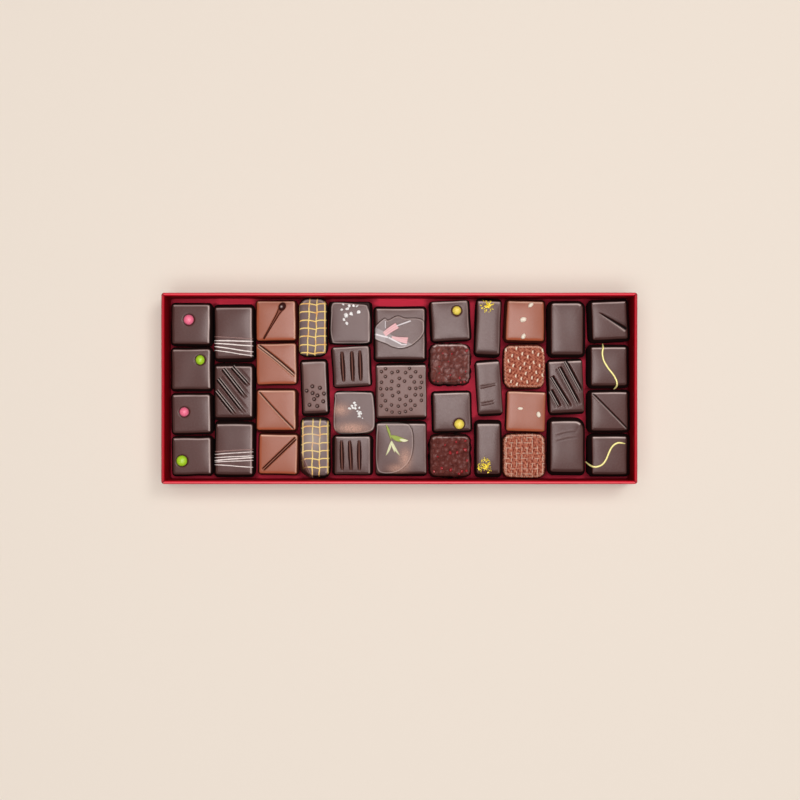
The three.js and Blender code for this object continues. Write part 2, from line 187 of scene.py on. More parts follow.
CREAM_EDGE_SHADE = srgb(172, 136, 128)
SALT_WHITE = srgb(255, 254, 252)
NUT_CREAM = srgb(255, 242, 222)
NET_PALE = srgb(255, 222, 138)
NET_DEEP = srgb(240, 164, 88)
COPPER = srgb(222, 176, 156)
PETAL_PINK = srgb(255, 202, 204)
FILM_GREY = srgb(156, 142, 142)
FILM_WHITE = srgb(252, 246, 248)
LEAF_GREEN = srgb(170, 188, 92)
LEAF_PALE = srgb(244, 244, 204)
GILT = srgb(255, 244, 160)
GILT_EDGE_SHADE = srgb(120, 96, 34)
GOLD = srgb(255, 228, 60)
PEARL_PINK = srgb(255, 124, 156)
PEARL_LIME = srgb(176, 222, 48)
PEARL_YELLOW = srgb(255, 230, 100)
NIB_RED = srgb(166, 40, 46)
CRUMB_PALE = srgb(255, 234, 210)
CRUMB_BASE = srgb(168, 84, 62)
CRUMB_HIGHLIGHT = srgb(216, 142, 114)
CRUMB_SHADE = srgb(106, 36, 26)

# Painted shade in furrows, painted highlight on crests, and painted shade on the sides and on the border, of
# a dark and of a milk coat
DARK_PAINTED_SHADING = (srgb(10, 2, 2), DARK_CREST_HIGHLIGHT, srgb(26, 6, 5), srgb(56, 21, 16))
MILK_PAINTED_SHADING = (srgb(44, 9, 6), srgb(255, 212, 188), srgb(74, 24, 16), srgb(164, 78, 46))


# Small maths

def smooth(value):
    value = np.clip(value, 0, 1)
    return value * value * (3 - 2 * value)


def bell(distance, width):
    return np.exp(-(distance / width) ** 2)


def band(distance, width):
    """Like a bell with a level top."""
    return np.minimum(1.8 * bell(distance, width), 1)


def stripe(distance, half, soft):
    """Full along a line, and fading out softly towards half its width."""
    return smooth((half - abs(distance)) / soft)


def ends(share, start, end):
    """Full along the middle of a line, with soft ends of the given shares of its length."""
    return smooth(share / start) * smooth((1 - share) / end)


def turned(x, y, turn, centre=(0, 0)):
    """Points turned about the origin and moved to a centre."""
    cos, sin = math.cos(turn), math.sin(turn)
    return centre[0] + x * cos - y * sin, centre[1] + x * sin + y * cos


def lay(tint, mask, colour):
    """Lay a colour over what is painted so far; the mask is how much of it covers."""
    mask = np.clip(mask, 0, 1)[:, None]
    below = tint[:, 3:] * (1 - mask)
    cover = mask + below
    mixed = (tint[:, :3] * below + np.array(colour[:3]) * mask) / np.maximum(cover, 1e-6)
    return np.hstack([mixed, cover])


def waves(x, y, length, seed):
    """Gentle unevenness between about -1 and 1, with features of about the given length."""
    generator = np.random.RandomState(seed)
    total = np.zeros_like(x)
    for _ in range(5):
        angle, phase = generator.uniform(0, TAU, 2)
        pitch = length * generator.uniform(0.7, 1.6)
        total += np.sin((x * math.cos(angle) + y * math.sin(angle)) * TAU / pitch + phase)
    return total / 3


def curve_point(a, b, c, d, t):
    return 0.5 * (2 * b + (c - a) * t + (2 * a - 5 * b + 4 * c - d) * t ** 2
                  + (3 * b - a - 3 * c + d) * t ** 3)


def curve(controls, spans, steps):
    return [curve_point(*controls[i:i + 4], t)
            for i in range(spans) for t in np.linspace(0, 1, steps, endpoint=False)]


def spline(controls, steps):
    """Smooth path through control points, as an array of points."""
    points = np.array(controls, float)
    longer = np.vstack([2 * points[0] - points[1], points, 2 * points[-1] - points[-2]])
    return np.array(curve(longer, len(points) - 1, steps) + [points[-1]])


def closed_spline(controls, steps):
    points = np.array(controls, float)
    return np.array(curve(np.vstack([points[-1:], points, points[:2]]), len(points), steps))


# Meshes

def make_piece(name, points, faces, material, colours):
    """Mesh object in metres from points in metres, riding on the box."""
    mesh = bpy.data.meshes.new(name)
    mesh.from_pydata([tuple(p) for p in points], [], faces)
    mesh.validate()
    layer = mesh.color_attributes.new("print", "FLOAT_COLOR", "POINT")
    layer.data.foreach_set("color", np.asarray(colours, np.float32).ravel())
    mesh.polygons.foreach_set("use_smooth", [True] * len(mesh.polygons))
    mesh.materials.append(material)
    piece = bpy.data.objects.new(name, mesh)
    bpy.context.scene.collection.objects.link(piece)
    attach(piece, "root")
    return piece


class Batch:
    """Many small pieces of one kind, gathered into one mesh."""

    def __init__(self):
        self.points = []
        self.faces = []
        self.colours = []
        self.count = 0

    def add(self, points, faces, colour):
        self.points.append(points)
        self.faces += [tuple(index + self.count for index in face) for face in faces]
        colours = np.empty((len(points), 4))
        colours[:] = colour
        self.colours.append(colours)
        self.count += len(points)

    def finish(self, name, material, slot):
        make_piece(name, np.vstack(self.points) * MM, self.faces, material,
                   np.vstack(self.colours))


def rounded(u, v, half_x, half_y, corners):
    """Point on a rectangle with rounded corners, for a point on the edge of the unit square."""
    radius = np.where(u > 0, np.where(v > 0, corners[0], corners[3]),
                      np.where(v > 0, corners[1], corners[2]))
    x = u * half_x
    y = v * half_y
    core_x = np.clip(x, radius - half_x, half_x - radius)
    core_y = np.clip(y, radius - half_y, half_y - radius)
    reach = np.maximum(np.hypot(x - core_x, y - core_y), 1e-9)
    scale = np.minimum(1, radius / reach)
    return core_x + (x - core_x) * scale, core_y + (y - core_y) * scale


def edge_walk(across, along):
    """Indices of the border of a grid of points, once round."""
    row = along + 1
    bottom = [i * row for i in range(across)]
    right = [across * row + j for j in range(along)]
    top = [i * row + along for i in range(across, 0, -1)]
    left = [j for j in range(along, 0, -1)]
    return bottom + right + top + left


def unit_grid(across, along, spacing):
    """Points of a grid over the unit square, and the indices of its border."""
    u, v = np.meshgrid(*(spacing(np.linspace(-1, 1, cells + 1)) for cells in (across, along)),
                       indexing="ij")
    return u.ravel(), v.ravel(), np.array(edge_walk(across, along))


def square_reach(u, v):
    """Share of the way from the middle of the unit square to its edge."""
    return np.maximum(np.maximum(abs(u), abs(v)), 1e-9)


def grid_faces(across, along):
    row = along + 1
    return [(a, a + row, a + row + 1, a + 1)
            for i in range(across) for a in range(i * row, i * row + along)]


def ring_faces(first, sides, levels, rising=True):
    """Outward faces between rings of points that rise, or fall, one after the other."""
    faces = []
    for start in range(first, first + levels * sides, sides):
        for j in range(sides):
            a, b = start + j, start + (j + 1) % sides
            faces.append((a, b, b + sides, a + sides) if rising else (a, a + sides, b + sides, b))
    return faces


class Coating:
    """The coated body of one praline: a grid over the top and rings down the sides."""

    def __init__(self, number, top, seed, turn=0, tone="dark", shoulder=SHARP, corner=0.8,
                 corners=None, bulge=0.0, taper=0.0, cell=0.45):
        self.node = "praline_" + number
        low, high = (np.array(side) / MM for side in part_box(self.node))
        self.tone = tone
        self.seed = seed
        self.turn = math.radians(turn)
        self.middle = (low + high)[:2] / 2
        self.base = low[2]
        self.height = PRALINE_HEIGHT
        cos, sin = math.cos(self.turn), abs(math.sin(self.turn))
        spread = (high - low)[:2]
        foot = (spread * cos - spread[::-1] * sin) / (cos * cos - sin * sin)
        self.half = np.array(top) / 2
        self.flare = np.maximum(foot / 2 - self.half, 0.3)
        self.furrow, self.crest, self.side_shade, self.border_shade = (
            MILK_PAINTED_SHADING if tone == "milk" else DARK_PAINTED_SHADING)
        self.shape(shoulder, np.array(corners or (corner,) * 4, float), bulge, taper, cell)

    def shape(self, shoulder, corners, bulge, taper, cell):
        flat = self.half - EDGE_INSET
        self.across, self.along = (2 * flat / cell).astype(int)
        u, v, self.border = unit_grid(self.across, self.along, np.asarray)
        ring = square_reach(u, v)
        x, y = rounded(u / ring, v / ring, *flat, corners)
        edge_u, edge_v = u[self.border], v[self.border]
        rings = self.profile(shoulder)
        xs, ys = [x * ring], [y * ring]
        zs = [self.height + TOP_CROWN * (1 - u ** 4) * (1 - v ** 4)]
        on_top, inset = [np.ones_like(ring)], [(1 - ring) * flat.min()]
        for spread, z, weight in rings:
            grown = corners + 0.5 * spread.mean() + 0.15 * (self.height - z)
            x, y = rounded(edge_u, edge_v, *(flat + spread), grown)
            xs.append(x)
            ys.append(y)
            zs.append(np.full_like(x, z))
            on_top.append(np.full_like(x, weight))
            inset.append(np.full_like(x, -spread.mean()))
        self.rings = len(rings)
        x, y, z = np.concatenate(xs), np.concatenate(ys), np.concatenate(zs)
        side_u = np.concatenate([u] + [edge_u] * self.rings)
        side_v = np.concatenate([v] + [edge_v] * self.rings)
        x += bulge * (1 - side_v ** 2) * side_u
        y += bulge * (1 - side_u ** 2) * side_v
        x *= 1 + taper * y / self.half[1]
        out = np.clip(np.hypot(x / self.half[0], y / self.half[1]), 0, 1)
        x += SIDE_WAVER * out * waves(y, z, 17, self.seed) * np.sign(x)
        y += SIDE_WAVER * out * waves(x, z, 19, self.seed + 40) * np.sign(y)
        z += TOP_WAVER * (z / self.height) * waves(x, y, 26, self.seed + 80)
        self.x, self.y, self.z = x, y, z
        self.on_top, self.inset = np.concatenate(on_top), np.concatenate(inset)
        self.tint = np.zeros((len(x), 4))
        self.shade_edges(shoulder, side_u, side_v)

    def shade_edges(self, shoulder, side_u, side_v):
        """Painted shade on the border that faces away from the light and on the sides, and a thin painted
        highlight line on the edges that face it.
        """
        ring = square_reach(side_u, side_v)
        facing = np.array([np.where(abs(part) > 0.995 * ring, np.sign(part), 0) for part in (side_u, side_v)])
        towards = np.array(GLINT_FROM) - self.middle
        lit = (facing.T @ (towards / np.hypot(*towards))) / np.maximum(np.hypot(*facing), 1)
        # Painted shade: a darker border on the edges that face away from the light
        self.paint(BORDER_SHADE_DEPTH * (0.4 - 0.6 * lit) * smooth(1 - self.inset / 1.1), self.border_shade)
        # Painted shade: dark sides below the shoulder
        self.paint(smooth((self.height - 0.4 * shoulder - self.z) / 0.35), self.side_shade)
        # Painted highlight: a thin light line on the edges that face the light
        lit = np.clip(1.3 * lit - 0.2, 0.04, 1) * (0.85 + 0.15 * waves(self.x, self.y, 12, self.seed + 9))
        self.paint(EDGE_HIGHLIGHT * lit * bell(self.inset + 0.18, 0.34), self.crest)

    def profile(self, shoulder):
        """Rings from the edge of the top, over the shoulder and down to the foot."""
        rings = []
        lip = EDGE_INSET + np.minimum(0.25 * shoulder, self.flare)
        for angle in np.linspace(0.14, 1, 7) * math.pi / 2:
            drop = shoulder * (1 - math.cos(angle))
            rings.append((lip * math.sin(angle), self.height - drop, 1 - 0.8 * math.sin(angle) ** 2))
        edge = self.height - shoulder
        belly = BELLY_SHARE * self.height
        foot = EDGE_INSET + self.flare
        for share in np.linspace(0.3, 1, 3):
            rings.append((lip + (foot - lip) * share ** 0.8, edge + (belly - edge) * share, 0))
        rings += [(foot, z, 0) for z in SIDE_LEVELS]
        return rings + [(foot - 0.15, 0.15, 0), (foot - 0.35, 0, 0)]

    def faces(self):
        faces = grid_faces(self.across, self.along)
        first = (self.across + 1) * (self.along + 1)
        count = len(self.border)
        upper = [int(index) for index in self.border]
        for level in range(self.rings):
            lower = list(range(first + level * count, first + (level + 1) * count))
            for i in range(count):
                after = (i + 1) % count
                faces.append((upper[i], lower[i], lower[after], upper[after]))
            upper = lower
        faces.append(tuple(upper))
        return faces

    def place(self, x, y, z):
        """Points about the praline's middle, turned and moved to where it lies in the box."""
        return np.column_stack([*turned(x, y, self.turn, self.middle), self.base + z])

    def away(self, x, y):
        """Distance of every point of the coat from a spot, in plan."""
        return np.hypot(self.x - x, self.y - y)

    def lift(self, rise):
        self.z += rise * self.on_top

    def paint(self, mask, colour):
        self.tint = lay(self.tint, mask, colour)

    def build(self, materials):
        name = self.node.replace("praline", "coat")
        points = self.place(self.x, self.y, self.z) * MM
        piece = make_piece(name, points, self.faces(), materials[self.tone],
                           self.tint)
        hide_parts(self.node)

    def surface(self, x, y):
        """Height of the coat at a spot, falling away past the edge of the top."""
        past = max(abs(x) - self.half[0], abs(y) - self.half[1], -0.9) + 0.9
        if past < 1.6:
            return self.height + TOP_CROWN * 0.5 - 0.35 * past ** 2
        return self.height - 0.8 - 1.4 * (past - 1.6)


# Marks pressed and drawn in the coat

def along_line(coat, start, end, bow=0.0):
    """Share along a line and distance beside it, for every point of the coat."""
    start, end = np.array(start, float), np.array(end, float)
    length = np.hypot(*(end - start))
    along = (end - start) / length
    x, y = coat.x - start[0], coat.y - start[1]
    share = (x * along[0] + y * along[1]) / length
    beside = y * along[0] - x * along[1]
    return share, beside - bow * 4 * share * (1 - share), length


def line_mark(coat, start, end, profile, fade, bow=0.0, widen=0.0):
    """Ridges and furrows along a line, as a profile gives them, with painted shade in the furrows and painted
    highlight on the pale ridges.
    """
    share, beside, _ = along_line(coat, start, end, bow)
    window = ends(share, *fade)
    scale = 1 + widen * (np.clip(share, 0, 1) - 0.5)
    for offset, height, width, shade in profile:
        outline = bell if shade > 0 else band
        shape = outline(beside - offset * scale, width * scale) * window
        coat.lift(height * shape)
        # Painted shade in the furrows and painted highlight on the pale ridges
        coat.paint(abs(shade) * shape * (coat.on_top > 0.1), coat.crest if shade > 0 else coat.furrow)


# Profiles of marks: each ridge or furrow has an offset, a height, a width and a shade, which is the strength
# of a painted highlight above 0 and of painted shade below 0
FORK_PAIR = ((-1.4, -0.5, 0.5, -1.0), (0.0, -0.9, 0.6, -1.0), (-0.7, 0.5, 0.18, 0.8),
             (0.72, 0.5, 0.18, 0.8), (1.7, -0.15, 0.7, -0.25))
FORK_FOLD = ((-0.5, -0.6, 0.46, -1.0), (0.72, -1.0, 0.6, -1.0), (-1.05, 0.5, 0.18, 0.65),
             (0.1, 0.5, 0.18, 0.75), (-1.8, -0.15, 0.6, -0.25))
DOUBLE_FOLD = ((0.8, -0.7, 0.5, -1.0), (-0.5, -0.5, 0.4, -0.9), (0.12, 0.3, 0.28, 0.75),
               (-1.05, 0.2, 0.3, 0.35))
THIN_CUT = ((0.0, -0.7, 0.34, -1.0), (-0.62, 0.15, 0.3, 0.4))
DOUBLE_CUT = ((-0.62, -0.7, 0.33, -1.0), (0.62, -0.7, 0.33, -1.0), (0.0, 0.2, 0.3, 0.1))
SHARP_FOLD = ((0.3, -1.0, 0.5, -1.0), (-0.65, 0.35, 0.4, 0.55), (1.3, -0.1, 0.8, -0.3))
THIN_FOLD = ((0.2, -0.8, 0.36, -1.0), (-0.45, 0.3, 0.34, 0.4))
FAINT_CUT = ((0.0, -0.2, 0.22, -0.4), (0.45, 0.06, 0.3, 0.12))
FAINT_WAVE = ((0.0, 0.06, 0.5, 0.07), (-0.9, -0.06, 0.5, -0.08))


def spindles(coat, centres, low, high):
    """Leaf-shaped marks: a fine ridge painted lighter as painted highlight, with a furrow down each side
    painted dark as painted shade.
    """
    for centre, slant in centres:
        share, beside, _ = along_line(coat, (centre + slant, high), (centre, low))
        window = ends(share, 0.12, 0.12)
        swell = 0.22 + 0.6 * np.clip(np.sin(np.clip(share, 0, 1) * math.pi), 0, 1) ** 0.7
        for side in (-1, 1):
            flank = band(beside - side * swell, 0.26) * window
            coat.lift(-0.42 * flank)
            # Painted shade in the furrow
            coat.paint(0.95 * flank, coat.furrow)
        spine = bell(beside, 0.3) * window
        coat.lift(0.35 * spine)
        # Painted highlight on the spine
        coat.paint(0.95 * spine, SPINE_HIGHLIGHT)


def craters(coat, spots, radius=1.3):
    """Round dimples in a top painted lighter as painted sheen, each with a small bead in the middle; rings
    get painted shade, darker to the lower right, and beads a painted highlight.
    """
    # Painted sheen: the top painted lighter
    coat.paint(DIMPLE_SHEEN_STRENGTH * (coat.inset > 0.3), DIMPLE_SHEEN)
    for x, y in spots:
        away = coat.away(x, y) / radius
        lower_right = 0.5 + 0.5 * ((coat.x - x) - (coat.y - y)) / (radius * 1.4)
        groove = band(away - 0.6, 0.26)
        coat.lift(-CRATER_DEPTH * smooth(1.15 - away) + 0.3 * bell(away, 0.34))
        # Painted shade in the ring, darker to the lower right, and a painted highlight on the bead
        coat.paint(groove * (0.55 + 0.45 * np.clip(lower_right, 0, 1)), coat.furrow)
        coat.paint(0.28 * bell(np.hypot(coat.x - x + 0.12, coat.y - y - 0.12), 0.34), coat.crest)


def crater_columns(coat, columns):
    """Small craters in uneven columns; each column has a place and the levels of its craters."""
    craters(coat, [(x + 0.5 * math.sin(2.4 * index + x), y)
                   for x, levels in columns for index, y in enumerate(levels)], 1.05)


def teardrop(coat, head, tail):
    """Glossy dark drop with a fine double tail; its outlines get painted shade and its head a painted
    highlight.
    """
    share, beside, length = along_line(coat, head, tail)
    inside = smooth((share + 0.02) / 0.04) * smooth((1 - share) / 0.03)
    bulb = np.hypot(beside / 2.0, (share * length - 0.3) / 2.5)
    neck = 0.3 + 0.62 * np.clip(1 - share / 0.8, 0, 1) + 1.1 * bell(share, 0.13)
    rims = band(abs(beside) - neck, 0.24) * inside * smooth((share - 0.06) / 0.1)
    coat.lift(0.7 * smooth((1.25 - bulb) / 0.9) + 0.22 * rims)
    coat.paint(0.7 * stripe(beside, neck, 0.3) * inside, DROP_TAIL)
    # Painted shade on the tail's outlines and round the head, and a painted highlight on the head
    coat.paint(rims, coat.furrow)
    coat.paint(smooth((1.12 - bulb) / 0.22), DROP_HEAD)
    coat.paint(0.9 * bell(bulb - 0.95, 0.18), coat.furrow)
    coat.paint(0.8 * bell(np.hypot(beside + 0.3, share * length - 0.6), 0.5), DARK_CREST_HIGHLIGHT)


def net_lines(coat, verticals, slant, rows, top):
    """How far each point lies on a net of drawn lines that sag between their crossings."""
    lean = coat.x - slant * coat.y
    left, first, second, right = verticals
    lines = [stripe(coat.x - x0, 0.44, 0.2) for x0 in (left, right)]
    lines += [stripe(lean - (x0 + 0.16 * np.sin(coat.y / 1.6 + x0)), 0.46, 0.2) for x0 in (first, second)]
    for row in range(rows):
        level = top - row * NET_PITCH + 0.15 * math.sin(row * 2.1)
        sag = np.where(lean < first, -1.3 * np.exp(-np.maximum(coat.x - left, 0) / 0.9),
                       np.where(lean < second, -0.9 * (lean - first) / (second - first),
                                -0.9 * np.exp(-(lean - second) / 0.7)))
        lines.append(stripe(coat.y - level - sag, 0.46, 0.2))
    return np.max(lines, axis=0) * (coat.z > coat.height - 2.4)


def net_print(coat, verticals, slant, rows, top):
    """Net of fine lines printed over the top and its shoulder."""
    line = net_lines(coat, verticals, slant, rows, top)
    coat.paint(0.3 * (coat.on_top > 0.3), FILM_GREY)
    coat.lift(0.12 * line)
    coat.paint(line, NET_PALE)
    coat.paint(line * 0.7 * smooth(0.1 + 0.9 * waves(coat.x, coat.y, 6, 5)), NET_DEEP)


def film(coat, controls, rise=0.18):
    """Thin sheet lying on the coat, with a fine dark line of painted shade round it and a painted highlight
    just inside its edge; gives the distance inside.
    """
    path = closed_spline(controls, 8)
    inside = np.zeros(len(coat.x), bool)
    nearest = np.full(len(coat.x), 1e9)
    for (x0, y0), (x1, y1) in zip(path, np.roll(path, -1, axis=0)):
        along = np.clip(((coat.x - x0) * (x1 - x0) + (coat.y - y0) * (y1 - y0))
                        / ((x1 - x0) ** 2 + (y1 - y0) ** 2 + 1e-9), 0, 1)
        away = np.hypot(coat.x - x0 - along * (x1 - x0), coat.y - y0 - along * (y1 - y0))
        nearest = np.minimum(nearest, away)
        crosses = ((y0 > coat.y) != (y1 > coat.y)) & (
            coat.x < (x1 - x0) * (coat.y - y0) / (y1 - y0 + 1e-12) + x0)
        inside ^= crosses
    depth = np.where(inside, nearest, -nearest)
    coat.lift(rise * smooth(0.5 + depth / 0.3))
    # Painted shade as a dark line round the sheet, and a painted highlight just inside it
    coat.paint(0.8 * bell(depth + 0.25, 0.26) * (coat.on_top > 0.1), coat.furrow)
    coat.paint(0.45 * bell(depth - 0.35, 0.28), coat.crest)
    return depth


def film_cap(coat, controls):
    """Sheet over nearly the whole top; past its edge the coat is painted with the dark side colour as painted
    shade.
    """
    depth = film(coat, controls, 0.12)
    # Painted shade on the coat past the sheet's edge
    coat.paint(0.92 * smooth(-depth / 0.3), coat.side_shade)
    coat.paint(0.16 * smooth(depth / 0.5), FILM_GREY)


def leaf(coat, base, tip, width, colour, bow, vein=0.0):
    """Leaf that is widest near its base, with a darker vein where one is asked for."""
    share, beside, _ = along_line(coat, base, tip, bow)
    half = width * np.clip(np.sin(np.clip(share, 0, 1) ** 0.8 * math.pi), 0, 1) ** 0.8
    blade = stripe(beside, half, 0.22) * (share > 0) * (share < 1)
    coat.paint(blade * 0.92, colour)
    coat.paint(blade * vein * bell(beside, 0.2), LEAF_GREEN)
    coat.lift(0.08 * blade)


def shimmer(coat, centre, spread, strength, seed):
    """Soft patch of copper dust."""
    cloud = 1.3 * bell(np.hypot((coat.x - centre[0]) / spread[0], (coat.y - centre[1]) / spread[1]), 1.0)
    grain = 0.7 + 0.4 * np.random.RandomState(seed).uniform(-1, 1, len(coat.x))
    coat.paint(strength * cloud * grain * (coat.on_top > 0.5), COPPER)


def stroke(coat, start, end, widths, colour, strength, bow):
    """Brush stroke with flat ends, and a width for each of them."""
    share, beside, _ = along_line(coat, start, end, bow)
    half = widths[0] + (widths[1] - widths[0]) * np.clip(share, 0, 1)
    body = stripe(beside, half, 0.35) * ends(share, 0.08, 0.06)
    streaks = 0.9 + 0.1 * np.sin(beside * 5 + 2 * share)
    coat.paint(body * strength * streaks, colour)
    coat.lift(0.08 * body)


def crumble(coat, seed):
    """Fine crumbs all over the top and shoulder, painted lighter on the raised crumbs as painted highlight
    and darker in the hollows as painted shade.
    """
    lumps = waves(coat.x, coat.y, 2.1, seed) + 0.8 * waves(coat.x, coat.y, 1.2, seed + 1)
    lumps += 0.35 * np.random.RandomState(seed).uniform(-1, 1, len(coat.x))
    top = coat.on_top > 0.05
    coat.lift(0.12 * lumps)
    coat.x += 0.1 * lumps * (1 - coat.on_top) * np.sign(coat.x)
    coat.y += 0.1 * np.roll(lumps, 3) * (1 - coat.on_top) * np.sign(coat.y)
    coat.paint(0.55 * top, CRUMB_BASE)
    # Painted highlight on raised crumbs and painted shade in the hollows
    coat.paint(0.5 * np.clip(lumps, 0, 1) * top, CRUMB_HIGHLIGHT)
    coat.paint(0.8 * np.clip(-lumps - 0.1, 0, 1) * top, CRUMB_SHADE)
    ragged = 0.5 + 0.5 * np.sin(coat.x * 5 + coat.y * 4)
    coat.paint(0.4 * bell(coat.inset + 0.1, 0.35) * ragged, CRUMB_PALE)


def tick_texture(coat):
    """Crumbs with staggered pale slivers, each with painted shade on its right."""
    crumble(coat, 11)
    generator = np.random.RandomState(5)
    pitch, drop, shift, climb = 6.2, 3.1, 3.6, 1.1
    for row in range(8):
        start = -10.8 + (row * shift) % pitch
        for i in range(4):
            x = start + i * pitch + generator.uniform(-0.35, 0.35)
            y = 9.8 - row * drop + i * climb + generator.uniform(-0.35, 0.35)
            if abs(x) > coat.half[0] - 0.5 or abs(y) > coat.half[1] - 1:
                continue
            lean = generator.uniform(-0.3, 0.4)
            share, beside, _ = along_line(coat, (x - lean, y - 1.25), (x + lean, y + 1.25), 0.25)
            length = ends(share, 0.25, 0.25)
            tick = stripe(beside, 0.58, 0.3) * length
            coat.lift(0.3 * tick)
            coat.paint(generator.uniform(0.8, 1) * tick, CRUMB_PALE)
            # Painted shade on the right of each sliver
            coat.paint(0.9 * bell(beside + 0.95, 0.34) * length, CRUMB_SHADE)


def woven_texture(coat):
    """Crumbs pressed with a weave of broken upright lines and faint level ones, with painted shade beside
    each upright line.
    """
    crumble(coat, 12)
    pitch = 3.15
    for i in range(8):
        x = -10.9 + i * pitch
        broken = smooth(0.55 + 0.9 * waves(coat.y, coat.y * 0 + i * 7.0, 4, 30 + i))
        line = stripe(coat.x - x, 0.36, 0.28) * broken
        coat.lift(0.16 * line)
        coat.paint(0.46 * line * (coat.on_top > 0.1), CRUMB_PALE)
        # Painted shade beside each upright line
        coat.paint(0.5 * bell(coat.x - x - 0.8, 0.35) * broken * (coat.on_top > 0.3), CRUMB_SHADE)
        y = -11 + i * pitch
        broken = smooth(0.4 + 0.9 * waves(coat.x, coat.x * 0 + i * 5.0, 4, 50 + i))
        line = stripe(coat.y - y, 0.4, 0.28) * broken
        coat.lift(0.1 * line)
        coat.paint(0.38 * line * (coat.on_top > 0.3), CRUMB_PALE)


def rock_lumps(coat, pitch, depth, seed):
    """Nut pieces under the coat: rounded lumps with narrow creases between them painted dark as painted
    shade.
    """
    generator = np.random.RandomState(seed)
    near = np.full((2, len(coat.x)), 1e9)
    bend_x = coat.x + 0.35 * waves(coat.x, coat.y, 3.5, seed + 1)
    bend_y = coat.y + 0.35 * waves(coat.x, coat.y, 3.5, seed + 2)
    reach_x, reach_y = (int(half / pitch) + 1 for half in coat.half)
    tone = np.zeros_like(coat.x)
    for i in range(-reach_x, reach_x + 1):
        for j in range(-reach_y, reach_y + 1):
            x, y = (np.array((i + 0.5 * (j % 2), j)) + generator.uniform(-0.42, 0.42, 2)) * pitch
            away = np.hypot(bend_x - x, bend_y - y) * generator.uniform(0.85, 1.2)
            tone = np.where(away < near[0], generator.uniform(0, 1), tone)
            near = np.sort(np.vstack([near, away]), axis=0)[:2]
    crease = smooth(1 - (near[1] - near[0]) / 0.9)
    dome = np.clip(1 - (near[0] / (0.75 * pitch)) ** 2, 0, 1)
    coat.lift(depth * (dome - 0.9) + 0.2 * depth * waves(coat.x, coat.y, 7, seed + 4))
    coat.paint(0.25 * (tone > 0.62) * (1 - crease), NUT_SHADE)
    # Painted shade in the creases
    coat.paint(0.75 * crease * (0.45 + 0.55 * smooth(0.5 + waves(coat.x, coat.y, 6, seed + 5))), NUT_CREASE_SHADE)
    side = (1 - coat.on_top) * smooth(coat.z / 3)
    lump = waves(coat.x + coat.y, coat.z, 5.5, seed + 3)
    out = np.maximum(np.hypot(coat.x, coat.y), 1)
    coat.x += coat.x / out * 0.5 * lump * side
    coat.y += coat.y / out * 0.5 * lump * side


# Toppings as small meshes of their own

def pearl(batch, coat, x, y, radius, colour, seed, squeeze=1.0):
    """Low sugar dome with a fine wrinkled skin, set a little into the coat, with a dark ring of painted
    shadow round it.
    """
    rings, sides = 14, 36
    foot = coat.height + 0.15
    points = [(x, y, foot + PEARL_RISE)]
    for i in range(1, rings + 1):
        slope = i / rings * 1.75
        for j in range(sides):
            angle = TAU * j / sides
            wrinkle = 1 + 0.012 * math.sin(angle * 9 + seed + i) + 0.01 * math.sin(angle * 17 + i * 2)
            reach = radius * math.sin(slope) * wrinkle
            points.append((x + reach * math.cos(angle), y + reach * squeeze * math.sin(angle),
                           foot + PEARL_RISE * math.cos(slope) * wrinkle))
    faces = [(0, 1 + j, 1 + (j + 1) % sides) for j in range(sides)]
    faces += ring_faces(1, sides, rings - 1, rising=False)
    batch.add(coat.place(*np.array(points).T), faces, colour)
    reach = coat.away(x, y)
    coat.lift(-0.35 * smooth((radius + 0.7 - reach) / 0.6))
    # Painted contact shadow: a dark ring round the pearl
    coat.paint(0.6 * bell(reach - radius - 0.1, 0.35), PEARL_CONTACT_SHADOW)


def stone(batch, coat, x, y, z, radii, turn, colour, seed, sharp=0.3):
    """Small uneven piece of nut, salt or dried fruit."""
    generator = np.random.RandomState(seed)
    rings, sides = 7, 10
    points = []
    for i in range(rings + 1):
        for j in range(sides):
            lat, lon = math.pi * i / rings, TAU * j / sides
            points.append((math.sin(lat) * math.cos(lon), math.sin(lat) * math.sin(lon), math.cos(lat)))
    points = np.array(points)
    for _ in range(5):
        facet = generator.normal(size=3)
        facet /= np.linalg.norm(facet)
        excess = np.clip(points @ facet - (1 - sharp), 0, 1)
        points -= excess[:, None] * facet
    px, py, pz = (points * radii).T
    batch.add(coat.place(*turned(px, py, turn, (x, y)), z + pz),
              ring_faces(0, sides, rings, rising=False), colour)


def salt_cluster(batch, coat, spots, seed):
    generator = np.random.RandomState(seed)
    for index, (x, y, size) in enumerate(spots):
        radii = size * generator.uniform(0.8, 1.15, 3) * (1, 0.85, 0.6)
        stone(batch, coat, x, y, coat.height + 0.3, radii, generator.uniform(0, TAU), SALT_WHITE,
              seed + index, 0.45)


